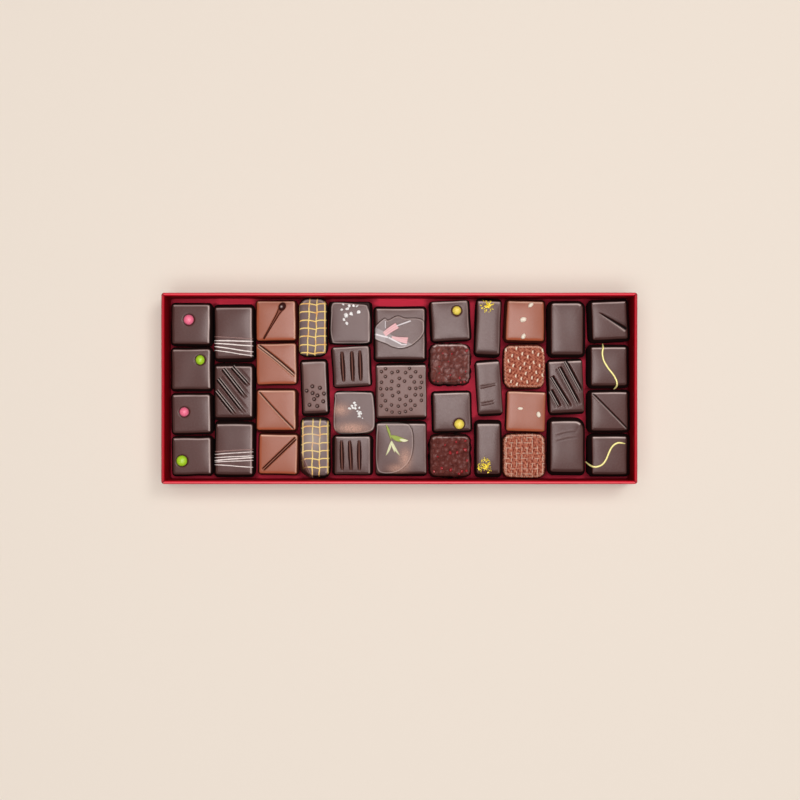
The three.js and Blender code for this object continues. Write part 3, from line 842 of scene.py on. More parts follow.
def piped_line(batch, coat, controls, width, height, colour, edge_shade, steps=10, swell=0.0, seed=0):
    """Piped line that lies on the coat and droops where it runs over the edge; its sides are painted in a
    darker edge colour as painted shade.
    """
    path = spline(controls, steps)
    count = len(path)
    sides = 12
    before = np.vstack([path[:1], path[:-1]])
    after = np.vstack([path[1:], path[-1:]])
    along = (after - before) / np.hypot(*(after - before).T)[:, None]
    beside = np.column_stack([-along[:, 1], along[:, 0]])
    points, colours = [], []
    for i in range(count):
        share = i / (count - 1)
        end = min(1.0, 0.45 + 6 * min(share, 1 - share))
        thick = end * (1 + swell * math.sin(share * 9 + seed) * math.sin(share * 23 + seed * 2))
        level = coat.surface(*path[i])
        for j in range(sides):
            angle = TAU * j / sides
            across = 0.5 * width * thick * math.cos(angle)
            points.append((path[i][0] + beside[i][0] * across, path[i][1] + beside[i][1] * across,
                           level + height * thick * (0.4 + 0.6 * math.sin(angle))))
            # Painted shade: the sides of the line take the darker edge colour
            rim = abs(math.cos(angle)) ** 8
            colours.append([colour[k] * (1 - rim) + edge_shade[k] * rim for k in range(3)] + [1])
    faces = [tuple(range(sides))[::-1], tuple(range((count - 1) * sides, count * sides))]
    faces += ring_faces(0, sides, count - 1)
    batch.add(coat.place(*np.array(points).T), faces, np.array(colours))


def gold_flakes(batch, coat, centre, spread, count, length, seed, radial=False):
    """Torn scraps of gold leaf, some standing up at an edge."""
    generator = np.random.RandomState(seed)
    for _ in range(count):
        angle = generator.uniform(0, TAU)
        reach = math.sqrt(generator.uniform(0.02, 1))
        x = centre[0] + spread[0] * reach * math.cos(angle)
        y = centre[1] + spread[1] * reach * math.sin(angle)
        heading = angle if radial else generator.uniform(0, TAU)
        size = length * generator.uniform(0.5, 1.3)
        slim = generator.uniform(0.18, 0.3) if radial else generator.uniform(0.4, 0.9)
        tilt = generator.uniform(-0.45, 0.45, 2)
        corners = []
        for step in range(6):
            around = TAU * step / 6
            jag = generator.uniform(0.55, 1.1)
            along, across = 0.5 * size * jag * math.cos(around), 0.5 * size * slim * jag * math.sin(around)
            corners.append((along, across, along * tilt[0] + across * tilt[1] + 0.05 * math.sin(5 * around)))
        corners.append((0, 0, 0.06))
        px, py, pz = np.array(corners).T
        level = coat.surface(x, y) + 0.12 + generator.uniform(0, 0.25)
        faces = [(6, k, (k + 1) % 6) for k in range(6)]
        batch.add(coat.place(*turned(px, py, heading, (x, y)), level + pz), faces, GOLD)


# Materials

def link(tree, source, target):
    tree.links.new(source, target)


def add_node(tree, kind, inputs=None, **settings):
    node = tree.nodes.new(kind)
    for key, value in settings.items():
        setattr(node, key, value)
    for key, value in (inputs or {}).items():
        if isinstance(value, bpy.types.NodeSocket):
            link(tree, value, node.inputs[key])
        else:
            node.inputs[key].default_value = value
    return node


def open_group(name, inputs, outputs):
    """New node group with numbers coming in, each with a value of its own, and outputs of given kinds."""
    group = bpy.data.node_groups.new(name, "ShaderNodeTree")
    for socket, value in inputs.items():
        made = group.interface.new_socket(socket, in_out="INPUT", socket_type="NodeSocketFloat")
        made.default_value = value
    for socket, kind in outputs.items():
        group.interface.new_socket(socket, in_out="OUTPUT", socket_type=kind)
    return group, group.nodes.new("NodeGroupInput"), group.nodes.new("NodeGroupOutput")


def noise(tree, scale, detail):
    """Noise that is fixed to the object."""
    where = add_node(tree, "ShaderNodeTexCoord")
    return add_node(tree, "ShaderNodeTexNoise", {
        "Vector": where.outputs["Object"], "Scale": scale, "Detail": detail}).outputs["Fac"]


def mottling_group():
    """Cloudy variation of a cooled coating, with finer flecks over it."""
    group, given, result = open_group(
        "Cooled mottling", {"Cloud Scale": 120.0, "Fleck Scale": 900.0},
        {"Clouds": "NodeSocketFloat", "Flecks": "NodeSocketFloat"})
    link(group, noise(group, given.outputs["Cloud Scale"], 3.0), result.inputs["Clouds"])
    link(group, noise(group, given.outputs["Fleck Scale"], 2.0), result.inputs["Flecks"])
    return group


def grain_group():
    """Fine uneven surface as a bumped normal."""
    group, given, result = open_group(
        "Fine grain", {"Scale": 1500.0, "Strength": 0.1, "Distance": 0.0001},
        {"Normal": "NodeSocketVector"})
    bump = add_node(group, "ShaderNodeBump", {
        "Strength": given.outputs["Strength"], "Distance": given.outputs["Distance"],
        "Height": noise(group, given.outputs["Scale"], 4.0)})
    link(group, bump.outputs["Normal"], result.inputs["Normal"])
    return group


def use_group(tree, group, **values):
    node = tree.nodes.new("ShaderNodeGroup")
    node.node_tree = group
    for key, value in values.items():
        node.inputs[key.replace("_", " ")].default_value = value
    return node


def new_material(name):
    material = bpy.data.materials.new(name)
    material.use_nodes = True
    return material, material.node_tree, material.node_tree.nodes["Principled BSDF"]


def mix_colour(tree, factor, first, second):
    return add_node(tree, "ShaderNodeMix", {0: factor, 6: first, 7: second}, data_type="RGBA").outputs[2]


def mix_value(tree, factor, first, second):
    return add_node(tree, "ShaderNodeMix", {0: factor, 2: first, 3: second}).outputs[0]


def spread_value(tree, source, low, high):
    node = add_node(tree, "ShaderNodeMapRange", {
        "Value": source, "From Min": 0.3, "From Max": 0.7, "To Min": low, "To Max": high})
    return node.outputs["Result"]


def printed_material(name, groups, scales, sources, colours, roughness, print_roughness, grain):
    """Mottled surface, with any print on it from the piece's own print colours; gives the print too."""
    material, tree, shader = new_material(name)
    mottling = use_group(tree, groups["mottling"], Cloud_Scale=scales[0], Fleck_Scale=scales[1])
    base = mix_colour(tree, mottling.outputs[sources[0]], *colours)
    printed = add_node(tree, "ShaderNodeAttribute", attribute_name="print")
    shown = mix_colour(tree, printed.outputs["Alpha"], base, printed.outputs["Color"])
    link(tree, shown, shader.inputs["Base Color"])
    bare = spread_value(tree, mottling.outputs[sources[1]], *roughness)
    link(tree, mix_value(tree, printed.outputs["Alpha"], bare, print_roughness), shader.inputs["Roughness"])
    fine = use_group(tree, groups["grain"], Scale=grain[0], Strength=grain[1], Distance=grain[2])
    link(tree, fine.outputs["Normal"], shader.inputs["Normal"])
    return material, printed.outputs["Alpha"]


def coat_material(name, groups, colour, deep, low, high, gloss):
    """Chocolate coating, glossy where nothing is painted on it."""
    material, alpha = printed_material(name, groups, (110.0, 800.0), ("Clouds", "Flecks"), (colour, deep),
                                       (low, high), PRINT_ROUGHNESS, (1400.0, 0.12, 0.00008))
    tree = material.node_tree
    shader = tree.nodes["Principled BSDF"]
    link(tree, mix_value(tree, alpha, gloss, 0.0), shader.inputs["Coat Weight"])
    shader.inputs["Coat Roughness"].default_value = COAT_ROUGHNESS
    shader.inputs["Specular IOR Level"].default_value = BODY_SPECULAR
    return material


def paper_material(name, groups, colour, deep, low, high):
    """Wrapping paper with a fine fibre grain."""
    material, _ = printed_material(name, groups, (60.0, 2200.0), ("Flecks", "Clouds"), (colour, deep),
                                   (low, high), LINER_ROUGHNESS, (1100.0, 0.18, 0.0001))
    shader = material.node_tree.nodes["Principled BSDF"]
    shader.inputs["Specular IOR Level"].default_value = PAPER_SPECULAR
    return material


def topping_material(name, groups, low, high, metallic, grain):
    """Topping that takes its colour from the piece, lightly mottled."""
    material, tree, shader = new_material(name)
    colour = add_node(tree, "ShaderNodeAttribute", attribute_name="print")
    mottling = use_group(tree, groups["mottling"], Cloud_Scale=500.0, Fleck_Scale=1600.0)
    shade = spread_value(tree, mottling.outputs["Flecks"], 0.86, 1.08)
    tone = add_node(tree, "ShaderNodeVectorMath", {0: colour.outputs["Color"], 1: shade},
                    operation="MULTIPLY")
    link(tree, tone.outputs["Vector"], shader.inputs["Base Color"])
    link(tree, spread_value(tree, mottling.outputs["Clouds"], low, high), shader.inputs["Roughness"])
    fine = use_group(tree, groups["grain"], Scale=1800.0, Strength=grain, Distance=0.0001)
    link(tree, fine.outputs["Normal"], shader.inputs["Normal"])
    shader.inputs["Metallic"].default_value = metallic
    return material


def all_materials():
    groups = {"mottling": mottling_group(), "grain": grain_group()}
    materials = {
        "dark": coat_material("Dark couverture", groups, DARK_COAT, DARK_COAT_DEEP, 0.24, 0.3, 0.24),
        "milk": coat_material("Milk couverture", groups, MILK_COAT, MILK_COAT_DEEP, 0.26, 0.33, 0.22),
        "nut": coat_material("Nut couverture", groups, NUT_COAT, NUT_COAT_DEEP, 0.22, 0.3, 0.3),
        "paper": paper_material("Red wrap", groups, PAPER_RED, PAPER_RED_DEEP, 0.34, 0.42),
    }
    for kind, (name, _, *look) in TOPPINGS.items():
        materials[kind] = topping_material(name.replace("_", " ").capitalize(), groups, *look)
    return materials


# The box

def tray_profile(height):
    """Inset and height of each ring: outside, over the rim, inside and on to the floor."""
    centre = height - RIM_ROUND
    rings = [(0.35, 0), (0.1, 0.1), (0, 0.35)]
    rings += [(0, z) for z in np.linspace(1.5, centre, 12)]
    for angle in np.linspace(0.125, 1, 8) * math.pi / 2:
        rings.append((RIM_ROUND * (1 - math.cos(angle)), centre + RIM_ROUND * math.sin(angle)))
    for angle in np.linspace(0, 0.875, 8) * math.pi / 2:
        rings.append((BOARD - RIM_ROUND * (1 - math.sin(angle)), centre + RIM_ROUND * math.cos(angle)))
    rings += [(BOARD, z) for z in np.linspace(centre, BOARD + 0.5, 12)]
    rings += [(BOARD + 0.12, BOARD + 0.14), (BOARD + 0.5, BOARD)]
    return rings


def floor_room(x, y, half, coats):
    """How far a spot of the floor is from the two nearest feet or walls together."""
    near = [half[0] - BOARD - abs(x), half[1] - BOARD - abs(y)]
    for coat in coats:
        away = np.abs(turned(x - coat.middle[0], y - coat.middle[1], -coat.turn))
        near.append(np.hypot(*np.maximum(away - (coat.half + coat.flare)[:, None], 0)))
    near = np.sort(near, axis=0)
    return near[0] + near[1]


def paper_print(x, y, z, half, height, room):
    """Painted highlight line along the rim and painted light on its crown; painted shade on the rim's outer
    edge, the end rims and the inner and outer walls; mitred seams at the corners; and the floor lining, with
    painted shade where the floor between feet is narrow.
    """
    from_x, from_y = half[0] - abs(x), half[1] - abs(y)
    inset = np.minimum(from_x, from_y)
    crown = smooth((z - height + 0.7) / 0.4)
    on_end = from_x < from_y
    middle = bell(x / 110, 1) * ~on_end
    near_corner = from_x + from_y < 2 * BOARD + 1
    on_floor = (z < BOARD + 0.6) & (inset > BOARD - 0.1)
    tint = np.zeros((len(x), 4))
    # Painted shade on the rim's outer edge, painted light on its crown, painted shade on the end rims, a
    # painted highlight line, painted shade on the inner and outer walls, seams, and painted shade on the
    # floor between feet
    for mask, colour in (
            (0.7 * smooth((0.35 - inset) / 0.3) * smooth((z - height + 2) / 1.2), PAPER_SHADE),
            ((0.8 - 0.5 * on_end) * bell(inset - 0.95, 0.75) * crown, PAPER_CROWN_LIGHT),
            (0.45 * on_end * crown, PAPER_SHADE),
            ((0.3 + 0.55 * middle - 0.16 * on_end) * bell(inset - 0.95, 0.34) * crown, PAPER_RIM_HIGHLIGHT),
            (0.5 * (inset > BOARD - 0.05) * (z < height - 1.5), PAPER_SHADE),
            ((inset < 0.3) * smooth((height - 1.2 - z) / 0.6), PAPER_OUTER_SHADE),
            (0.95 * bell(from_x - from_y, 0.4) * near_corner * crown, PAPER_SEAM),
            (on_floor, LINER_GAP_SHADE),
            (on_floor * smooth(room / OPEN_ROOM), LINER_RED)):
        tint = lay(tint, mask, colour)
    return tint


def build_tray(materials, coats):
    """The wrapped board: rings up the outside, over the rim and down, and a fine grid on the floor."""
    low, high = (np.array(corner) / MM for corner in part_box("box_tray"))
    half = (high - low)[:2] / 2
    height = (high - low)[2]
    u, v, border = unit_grid(*TRAY_CELLS, lambda part: np.sin(part * math.pi / 2))
    edge_u, edge_v = u[border], v[border]
    points = []
    for inset, z in tray_profile(height):
        radius = (max(TRAY_CORNER - inset, 0.35),) * 4
        x, y = rounded(edge_u, edge_v, half[0] - inset, half[1] - inset, radius)
        give = WALL_GIVE * smooth(z / 6) * (0.5 + 0.5 * np.clip(waves(x, y, 70, 3), -1, 1))
        points.append(np.column_stack([x - give * np.sign(x), y - give * np.sign(y),
                                       np.full_like(x, z)]))
    count = len(border)
    faces = ring_faces(0, count, len(points) - 1) + [tuple(range(count))[::-1]]
    index = np.full(len(u), -1)
    index[border] = (len(points) - 1) * count + np.arange(count)
    inside = np.flatnonzero(index < 0)
    index[inside] = len(points) * count + np.arange(len(inside))
    ring = square_reach(u, v)[inside]
    x, y = rounded(u[inside] / ring, v[inside] / ring, *(half - inset), radius)
    points.append(np.column_stack([0.999 * x * ring, 0.999 * y * ring, np.full_like(x, BOARD)]))
    faces += [tuple(int(index[k]) for k in face) for face in grid_faces(*TRAY_CELLS)]
    points = np.vstack(points)
    room = floor_room(points[:, 0], points[:, 1], half, coats)
    piece = make_piece("wrapped_tray", points * MM, faces, materials["paper"],
                       paper_print(*points.T, half, height, room))
    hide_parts("box_tray")


# The pralines, column by column from the left; rows count from the back

class Assortment:
    """The coats and toppings of the whole box while they are worked out."""

    def __init__(self):
        self.coats = []
        self.batches = {kind: Batch() for kind in TOPPINGS}

    def coat(self, number, width, length, **options):
        made = Coating(number, (width, length), len(self.coats) * 7 + 1, **options)
        self.coats.append(made)
        return made

    def finish(self, materials):
        for made in self.coats:
            made.build(materials)
        for kind, batch in self.batches.items():
            name, slot = TOPPINGS[kind][:2]
            batch.finish(name, materials[kind], slot)


def pearl_column(box):
    pearls = box.batches["pearl"]
    pearl(pearls, box.coat("01_1", 22.6, 23.7, turn=-0.5), -1.3, 2.7, 3.1, PEARL_PINK, 1)
    pearl(pearls, box.coat("01_2", 22.8, 23.9, turn=0.3), 5.6, 5.6, 2.75, PEARL_LIME, 2, 1.08)
    pearl(pearls, box.coat("01_3", 22.7, 22.9, turn=0.8), -4.2, 1.2, 2.85, PEARL_PINK, 3)
    pearl(pearls, box.coat("01_4", 22.7, 21.9, turn=0.8), -6, -2.7, 3.3, PEARL_LIME, 4)


def drizzle(box, coat, lines):
    """Piped lines that cross the praline, each from a level on the left to one on the right."""
    reach = coat.half[0] + 0.7
    for left, right, width, shade in lines:
        path = [(-reach, left), (-3, left * 0.62 + right * 0.38 + 0.1),
                (4, left * 0.3 + right * 0.7), (reach, right)]
        piped_line(box.batches["drizzle"], coat, path, width, 0.5, shade, CREAM_EDGE_SHADE,
                   swell=0.14, seed=left)


def drizzled_column(box):
    upper = box.coat("02_1", 22.2, 30.7, turn=0.5)
    drizzle(box, upper, ((-2.2, -3.6, 0.5, CREAM_DIM), (-4.6, -5.2, 0.85, CREAM), (-6.2, -8, 0.85, CREAM),
                         (-8.1, -11.6, 0.85, CREAM), (-10.4, -14, 0.65, CREAM)))
    forked = box.coat("02_2", 22.2, 30.9, cell=0.22)
    for start, end in (((-0.6, 15.7), (10.1, 3.9)), ((-6, 14.6), (8.4, -3.8)),
                       ((-9.3, 8.5), (7.7, -13.1)), ((-10.4, 1.1), (1.7, -14))):
        line_mark(forked, start, end, FORK_PAIR, fade=(0.03, 0.25))
    lower = box.coat("02_3", 22.1, 30.4, turn=-0.5)
    drizzle(box, lower, ((-1.5, 0.2, 0.55, CREAM_DIM), (-3.2, -1.4, 0.6, CREAM), (-5.2, -3.8, 0.65, CREAM),
                         (-6.9, -4.8, 0.85, CREAM), (-7.8, -6.6, 0.6, CREAM), (-9.4, -10.8, 0.65, CREAM)))


def first_milk_column(box):
    teardrop(box.coat("03_1", 23.2, 23.4, turn=0.5, tone="milk", cell=0.22), (4, 8.8), (-7.8, -11.4))
    line_mark(box.coat("03_2", 23.5, 24.1, turn=1, tone="milk", cell=0.24),
              (-11.2, 11.4), (11.6, -7.9), DOUBLE_FOLD, fade=(0.04, 0.1), bow=0.4)
    line_mark(box.coat("03_3", 23, 23.8, tone="milk", cell=0.24),
              (-10.6, 11.4), (10.8, -11.6), THIN_CUT, fade=(0.03, 0.03), bow=-0.3)
    line_mark(box.coat("03_4", 22.8, 23.4, turn=-1, tone="milk", cell=0.24),
              (10.8, 10.2), (-9.6, -10), DOUBLE_CUT, fade=(0.04, 0.06))


def net_column(box):
    upper = box.coat("04_1", 15.6, 33.4, shoulder=SOFT, corners=(3.4, 4.6, 2.6, 3.2), cell=0.24)
    net_print(upper, (-8.4, -2.61, 2.08, 7.4), 0.041, 7, 14.2)
    craters(box.coat("04_2", 14.8, 31.2, turn=2.3, cell=0.22), (
        (-1.3, 0.7), (3.3, -0.4), (-4.9, -1.8), (-1.3, -3.4), (1.6, -5), (5.7, -4), (-0.5, -7.1),
        (5, -8.7), (-3.5, -10.5), (1.2, -11.4)))
    lower = box.coat("04_3", 15.8, 33.2, shoulder=SOFT, corners=(2.2, 2.2, 7.5, 2.2), cell=0.24)
    net_print(lower, (-7.3, -1.5, 2.85, 7.9), 0.015, 6, 13.2)
    # Painted sheen: the upper part of the sheet painted lighter
    lower.paint(0.5 * bell(np.hypot((lower.x + 1) / 6, (lower.y - 5) / 8), 1), NET_SHEEN)
    beyond = -((lower.x + 7.4) * 12 + (lower.y + 4.6) * 5.1) / 13
    lower.paint(0.85 * smooth(beyond / 0.4), DARK_COAT_DEEP)
    lower.paint(0.6 * bell(beyond, 0.3) + 0.35 * bell(beyond - 1, 0.25), CREAM_DIM)


def salt_column(box):
    salt = box.batches["salt"]
    upper = box.coat("05_1", 23.6, 24.6, cell=0.27)
    film_cap(upper, (
        (-9.3, 12), (-11.2, 10), (-11.4, 5.3), (-11.8, -1.1), (-11.8, -5.4), (-10.8, -10.9),
        (-9.3, -12.4), (-0.3, -12.6), (9, -12.4), (11.6, -11.1), (12.1, -6.2), (12.2, -0.7),
        (11.9, 4.4), (10.7, 8.7), (9.5, 10.6), (3.9, 11.2), (-2.5, 11.8)))
    salt_cluster(salt, upper, (
        (-4.3, 11.2, 1.15), (-0.7, 10.2, 1.1), (2.2, 10.4, 1.2), (4.3, 10.1, 1.1), (-5.1, 8.1, 1.2),
        (-1.7, 8.4, 1.5), (5.2, 6.3, 1.35), (0.8, 5.2, 1.55), (-2.6, 4.3, 1.8), (-3.6, 2, 1.2),
        (-2.2, -0.5, 1.4)), 3)
    spindles(box.coat("05_2", 22, 24, turn=3, cell=0.22),
             ((-5.2, -0.2), (0.4, 0.2), (5.2, 0.4)), -9.6, 10)
    lower = box.coat("05_3", 24.4, 24.6, corners=(1.4, 1.4, 4.4, 4.4), taper=-0.03, cell=0.27)
    film_cap(lower, (
        (-11.3, 11.7), (-11.5, 8.1), (-12.1, 2.6), (-12.4, -2.6), (-12.3, -8.1), (-11.5, -11.1),
        (-9.5, -12.8), (-0.6, -13), (7.9, -11.7), (11.6, -9.8), (12.5, -5.5), (12.5, -0.4),
        (12, 4.3), (10.9, 11.1), (8.3, 11.9), (1.5, 12.4), (-4.9, 12.7)))
    shimmer(lower, (-8.1, 1.7), (5, 3.5), 0.6, 5)
    shimmer(lower, (-1.4, -9.6), (9, 3.2), 0.75, 4)
    salt_cluster(salt, lower, (
        (-2.7, 2.4, 1.1), (-1.2, 4, 1.2), (0.2, 5.7, 1.2), (1, 4.4, 1.1), (-0.6, 3, 1.1),
        (0.6, 2.4, 1.1), (2.1, 0.7, 1.2), (3.1, -0.7, 1.2), (3.7, -2.2, 1), (2.7, -2.2, 0.9),
        (4.3, -0.5, 1), (3.7, 0.5, 1), (5, -3.4, 0.8), (3.3, 3, 0.9)), 8)
    spindles(box.coat("05_4", 21.4, 22.8, cell=0.22),
             ((-6.2, -0.6), (-0.8, -1), (4.2, -0.2)), -9.8, 9.6)


def film_column(box):
    petals = box.coat("06_1", 29.8, 30.4, cell=0.26)
    inside = film(petals, (
        (-15, -0.3), (-14.8, 4.2), (-9.6, 9.2), (-7.2, 8.2), (-1.6, 10.7), (3.2, 9.4), (9.9, 9.4),
        (13.7, 8.2), (14.6, 5.5), (14.2, 0.6), (11, -3.7), (6.5, -7.1), (0.9, -8.7), (-4.5, -7.8),
        (-8.1, -6), (-14.6, -3.3)))
    petals.paint(0.24 * smooth((-2.6 - 0.45 * petals.x - petals.y) / 0.6) * smooth(inside / 0.5), FILM_WHITE)
    petals.paint(0.15 * smooth((-8.6 - petals.x) / 0.5) * smooth(inside / 0.5), FILM_WHITE)
    for start, end, widths, colour, strength, bow in (
            ((-9.8, -0.6), (-1.4, 5.2), (1.7, 2.1), PETAL_PINK, 0.95, 0.3),
            ((-5.4, -1.9), (4.9, -4.1), (0.8, 2.3), PETAL_PINK, 0.95, -0.3),
            ((-2.3, 4.7), (6.8, 8), (0.55, 0.7), FILM_WHITE, 0.85, 0),
            ((-8.9, 8), (-8.8, 3.2), (0.5, 0.45), FILM_WHITE, 0.75, 0),
            ((-15.4, -0.1), (-7, -2.2), (0.65, 0.7), FILM_WHITE, 0.95, -0.1),
            ((-7.3, -2.1), (1, -6.4), (0.7, 0.6), FILM_WHITE, 0.95, 0),
            ((0.4, -6.6), (4.2, -6.6), (0.5, 0.5), FILM_WHITE, 0.9, 0),
            ((-2, -8.2), (3.4, -7.6), (0.3, 0.3), FILM_WHITE, 0.8, -0.3)):
        stroke(petals, start, end, widths, colour, strength, bow)
    crater_columns(box.coat("06_2", 30.4, 31.6, turn=0.8, cell=0.24), (
        (-12.1, (12.2, 5.7, 1.8, -2.1, -8.6)), (-9.2, (14, 9.1, 1.7, -5.6, -11)),
        (-5.7, (11.5, 6.2, 1.7, -2.5, -8.2, -12.5)), (-1.4, (12.2, 7.9, 3.6, -0.5, -4.8, -9, -12.9)),
        (2.6, (11.4, 6.2, -3, -8.2, -12.3)), (5.6, (14, 8.9, 1.7, -5.7, -11)),
        (8.6, (11.8, 5.6, 1.7, -2.2, -8.6)), (12.1, (8.8, 5.3, 2.1, -2.4, -5.6))))
    sprig = box.coat("06_3", 30.3, 30.4, cell=0.26)
    film(sprig, (
        (-12.9, 15.4), (2.3, 15.2), (6, 12.5), (7.2, 7.7), (7.2, 1), (6, -5.1), (3.5, -9.4),
        (-0.7, -13), (-5.6, -14.8), (-11.1, -14.8), (-14.1, -13), (-15.2, -6.9), (-15.2, 2.2),
        (-14.7, 11.3)))
    shimmer(sprig, (2.5, -6), (3.6, 6), 0.6, 6)
    shimmer(sprig, (-3, -12), (5, 2.6), 0.5, 7)
    leaf(sprig, (-9.2, 15), (-5.9, 4.6), 0.75, LEAF_GREEN, 0.3)
    leaf(sprig, (-6.4, 8), (4.1, 5.2), 1.6, LEAF_GREEN, -0.8)
    leaf(sprig, (-1, 5.8), (4.6, 5), 1, LEAF_PALE, -0.4)
    for tip, bow in (((-9.5, -4.5), 0.5), ((-3.8, -2.7), 0), ((-0.4, -4.5), -0.6)):
        leaf(sprig, (-5.9, 5), tip, 0.85, LEAF_PALE, bow, vein=0.4)


def nibs(box, rock, spots, seed):
    """Glossy bits of red fruit; each has a place, a size and a stretch."""
    for index, (x, y, size, stretch) in enumerate(spots):
        nearest = np.argmin(rock.away(x, y) + 40 * (rock.on_top < 0.3))
        stone(box.batches["nib"], rock, x, y, rock.z[nearest] + 0.05,
              (size * stretch, size, size * 0.7), index * 1.3, NIB_RED, seed + index, 0.4)


def rock_column(box):
    pearls = box.batches["pearl"]
    pearl(pearls, box.coat("07_1", 22.3, 23.5, turn=3), 4.3, 6, 2.7, PEARL_YELLOW, 5)
    smooth_rock = box.coat("07_2", 23.4, 24, tone="nut", shoulder=SOFT, corner=4, cell=0.27)
    rock_lumps(smooth_rock, 4, 1.1, 21)
    nibs(box, smooth_rock, (
        (-4.4, 6.6, 0.6, 1.2), (1.1, 6.3, 0.7, 1.3), (-0.9, 1.8, 0.6, 1.1), (-6.5, -1.4, 0.6, 1.2),
        (-6.5, -5.3, 0.6, 1), (0.2, -6.5, 0.6, 1.2), (5.8, -8.3, 0.9, 1.3), (8.7, -10.6, 0.8, 1.2),
        (10.2, 8.1, 0.8, 1.9), (-9.6, -10, 0.7, 1.2), (-7.4, -10.6, 0.6, 1.1), (9.6, -4.4, 0.6, 1.3),
        (6.8, -11, 0.7, 1.1)), 60)
    pearl(pearls, box.coat("07_3", 22.1, 23.1, turn=1.5), 4.3, -7.6, 3, PEARL_YELLOW, 6)
    rough_rock = box.coat("07_4", 23.4, 23.8, tone="nut", shoulder=SOFT, corner=3, cell=0.27)
    rock_lumps(rough_rock, 3.4, 1.4, 33)
    rough_rock.paint(0.4 * (rough_rock.on_top > 0.2), NUT_SHADE)
    nibs(box, rough_rock, (
        (0, 2, 1.2, 1.3), (4.4, 2, 1, 1.2), (9, 3.8, 1.1, 1.3), (10.2, -2.7, 0.8, 1.8),
        (-5.2, -7.3, 0.9, 1.3), (-7.6, -0.3, 0.7, 1.2), (7.1, -9.4, 1, 1.2), (5.4, -10.8, 0.9, 1.1),
        (0.6, -8.3, 1, 1.3), (3.6, 8.6, 0.8, 1.2), (9.4, 9.2, 0.8, 1.2), (-9.8, -9.4, 0.8, 1.2),
        (10, -9, 0.8, 1.3), (-3, 6.6, 0.7, 1.2)), 80)


def gilded_column(box):
    gold = box.batches["gold"]
    upper = box.coat("08_1", 14.3, 32.2, turn=-2)
    gold_flakes(gold, upper, (-1, 13), (4.2, 3.6), 40, 2.1, 3, radial=True)
    gold_flakes(gold, upper, (-0.6, 13.4), (1.5, 1.7), 26, 1.4, 13)
    banded = box.coat("08_2", 14.6, 31.2, turn=3.5, cell=0.3)
    for start, end in (((-6, 1.6), (5, 2.6)), ((-6, 0), (5, 1.8)), ((-6, -8.8), (3, -7.6)),
                       ((-6, -10.4), (3.4, -9.2))):
        line_mark(banded, start, end, FAINT_CUT, fade=(0.2, 0.2))
    lower = box.coat("08_3", 14, 30.3)
    gold_flakes(gold, lower, (-1.9, -8.6), (3, 3.6), 84, 1.1, 7)
    gold_flakes(gold, lower, (-4.2, -11.2), (2.4, 2.8), 44, 0.9, 8)
    gold_flakes(gold, lower, (0.4, -12.2), (1.6, 2.6), 26, 0.8, 9)


def second_milk_column(box):
    nuts = box.batches["nut_piece"]
    upper = box.coat("09_1", 22.4, 23.7, turn=-1.5, tone="milk", taper=-0.02)
    for place, radii, turn, seed in (((2.9, 9.7, 13.9), (2.1, 1.3, 0.9), 0.6, 4),
                                     ((-1.1, 0.6, 13.9), (2.3, 1.8, 1), 0.1, 7),
                                     ((-0.7, -9.3, 13.9), (2.1, 1.4, 0.9), 0.9, 12)):
        stone(nuts, upper, *place, radii, turn, NUT_CREAM, seed)
    tick_texture(box.coat("09_2", 23.8, 24.4, tone="milk", corner=3, bulge=0.3, cell=0.22))
    lower = box.coat("09_3", 23, 23.6, turn=-1.8, tone="milk")
    stone(nuts, lower, -3.7, 1.7, 13.85, (1.9, 0.95, 0.75), 0.05, NUT_CREAM, 15)
    stone(nuts, lower, 7.6, -1.4, 13.9, (1.4, 2.2, 1), 0.25, NUT_CREAM, 18)
    woven_texture(box.coat("09_4", 24, 25.4, tone="milk", corner=3, bulge=0.3, cell=0.22))


def folded_column(box):
    box.coat("10_1", 19.2, 31, corners=(2.6, 1.4, 1.1, 1.1))
    forked = box.coat("10_2", 20.6, 31, turn=2.5, cell=0.22)
    for start, end in (((-0.2, 15.8), (9.4, -4.1)), ((-3.9, 12.2), (7.7, -12.1)),
                       ((-8.9, 6.7), (2.1, -13.2)), ((-9.8, -1.7), (-4.6, -12.3))):
        line_mark(forked, start, end, FORK_FOLD, fade=(0.04, 0.2))
    wavy = box.coat("10_3", 19.8, 30.6, corners=(4.6, 1.1, 1.1, 1.1))
    for level in (10, 6.5):
        line_mark(wavy, (-8, level - 3), (8, level), FAINT_WAVE, fade=(0.3, 0.3), bow=0.8)


def lined_column(box):
    gilt = box.batches["gilt"]
    line_mark(box.coat("11_1", 21, 22.6, turn=2.5, cell=0.24), (-6.5, 5.1), (10, -6.1), SHARP_FOLD,
              fade=(0.15, 0.02), widen=1.1)
    upper = box.coat("11_2", 21.4, 23.1, turn=0.5)
    piped_line(gilt, upper, ((-3.4, 14), (-3.5, 11.2), (-4, 8), (-3.2, 3.6), (-0.6, -1), (2.6, -5.2),
                             (4.5, -9), (4.6, -12), (3.2, -14)), 1.2, 0.7, GILT, GILT_EDGE_SHADE, 6)
    line_mark(box.coat("11_3", 21.9, 23.1, turn=0.5, cell=0.24), (-10.4, 11), (10.6, -10.6), THIN_FOLD,
              fade=(0.03, 0.03))
    lower = box.coat("11_4", 20.8, 22.8)
    piped_line(gilt, lower, ((-14, -4), (-11, -6.4), (-8, -6.9), (-4.6, -5.6), (-2.2, -2.6), (0.2, 3),
                             (2.4, 6.2), (5.4, 7.7), (9.6, 7.2)), 1.25, 0.7, GILT, GILT_EDGE_SHADE, 6)


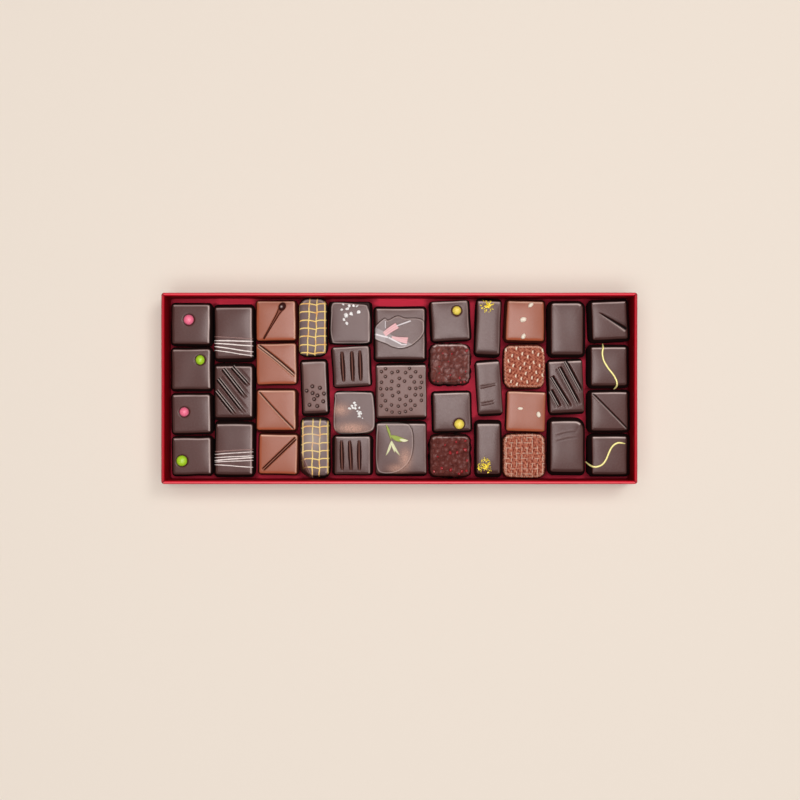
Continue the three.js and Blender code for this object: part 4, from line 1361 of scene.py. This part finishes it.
def build_pralines(materials):
    box = Assortment()
    for column in (pearl_column, drizzled_column, first_milk_column, net_column, salt_column,
                   film_column, rock_column, gilded_column, second_milk_column, folded_column,
                   lined_column):
        column(box)
    box.finish(materials)
    return box.coats


# Surroundings

def build_camera():
    rim = cad_bounds[1][2]
    camera = bpy.data.cameras.new("camera")
    camera.sensor_width = SENSOR
    camera.lens = SENSOR * CAMERA_ABOVE_RIM / VIEW_WIDTH_AT_RIM
    camera.clip_start = 0.01
    holder = bpy.data.objects.new("camera", camera)
    holder.location = (CAMERA_OFFSET[0], CAMERA_OFFSET[1], rim + CAMERA_ABOVE_RIM)
    bpy.context.scene.collection.objects.link(holder)
    bpy.context.scene.camera = holder


def build_floor():
    bpy.ops.mesh.primitive_plane_add(size=FLOOR_SIZE, location=(0, 0, FLOOR_LEVEL))
    floor = bpy.context.object
    floor.name = "floor"
    material, _, shader = new_material("Pale floor")
    shader.inputs["Base Color"].default_value = FLOOR_CREAM
    shader.inputs["Roughness"].default_value = FLOOR_ROUGHNESS
    floor.data.materials.append(material)


def area_light(name, place, target, size, power, colour):
    light = bpy.data.lights.new(name, "AREA")
    light.shape = "RECTANGLE"
    light.size, light.size_y = size
    light.energy = power
    light.color = colour
    holder = bpy.data.objects.new(name, light)
    holder.location = place
    aim = np.array(target) - np.array(place)
    from_z = math.atan2(aim[0], -aim[1])
    tilt = math.atan2(math.hypot(aim[0], aim[1]), -aim[2])
    holder.rotation_euler = (tilt, 0, from_z - math.pi)
    bpy.context.scene.collection.objects.link(holder)


def build_lights():
    for settings in LIGHTS:
        area_light(*settings)
    world = bpy.data.worlds.new("studio")
    world.use_nodes = True
    background = world.node_tree.nodes["Background"].inputs
    background["Color"].default_value = (*PANEL_WHITE, 1)
    background["Strength"].default_value = WORLD_STRENGTH
    bpy.context.scene.world = world


def main():
    bpy.context.scene.view_settings.view_transform = "Standard"
    build_camera()
    build_floor()
    build_lights()
    materials = all_materials()
    build_tray(materials, build_pralines(materials))


main()
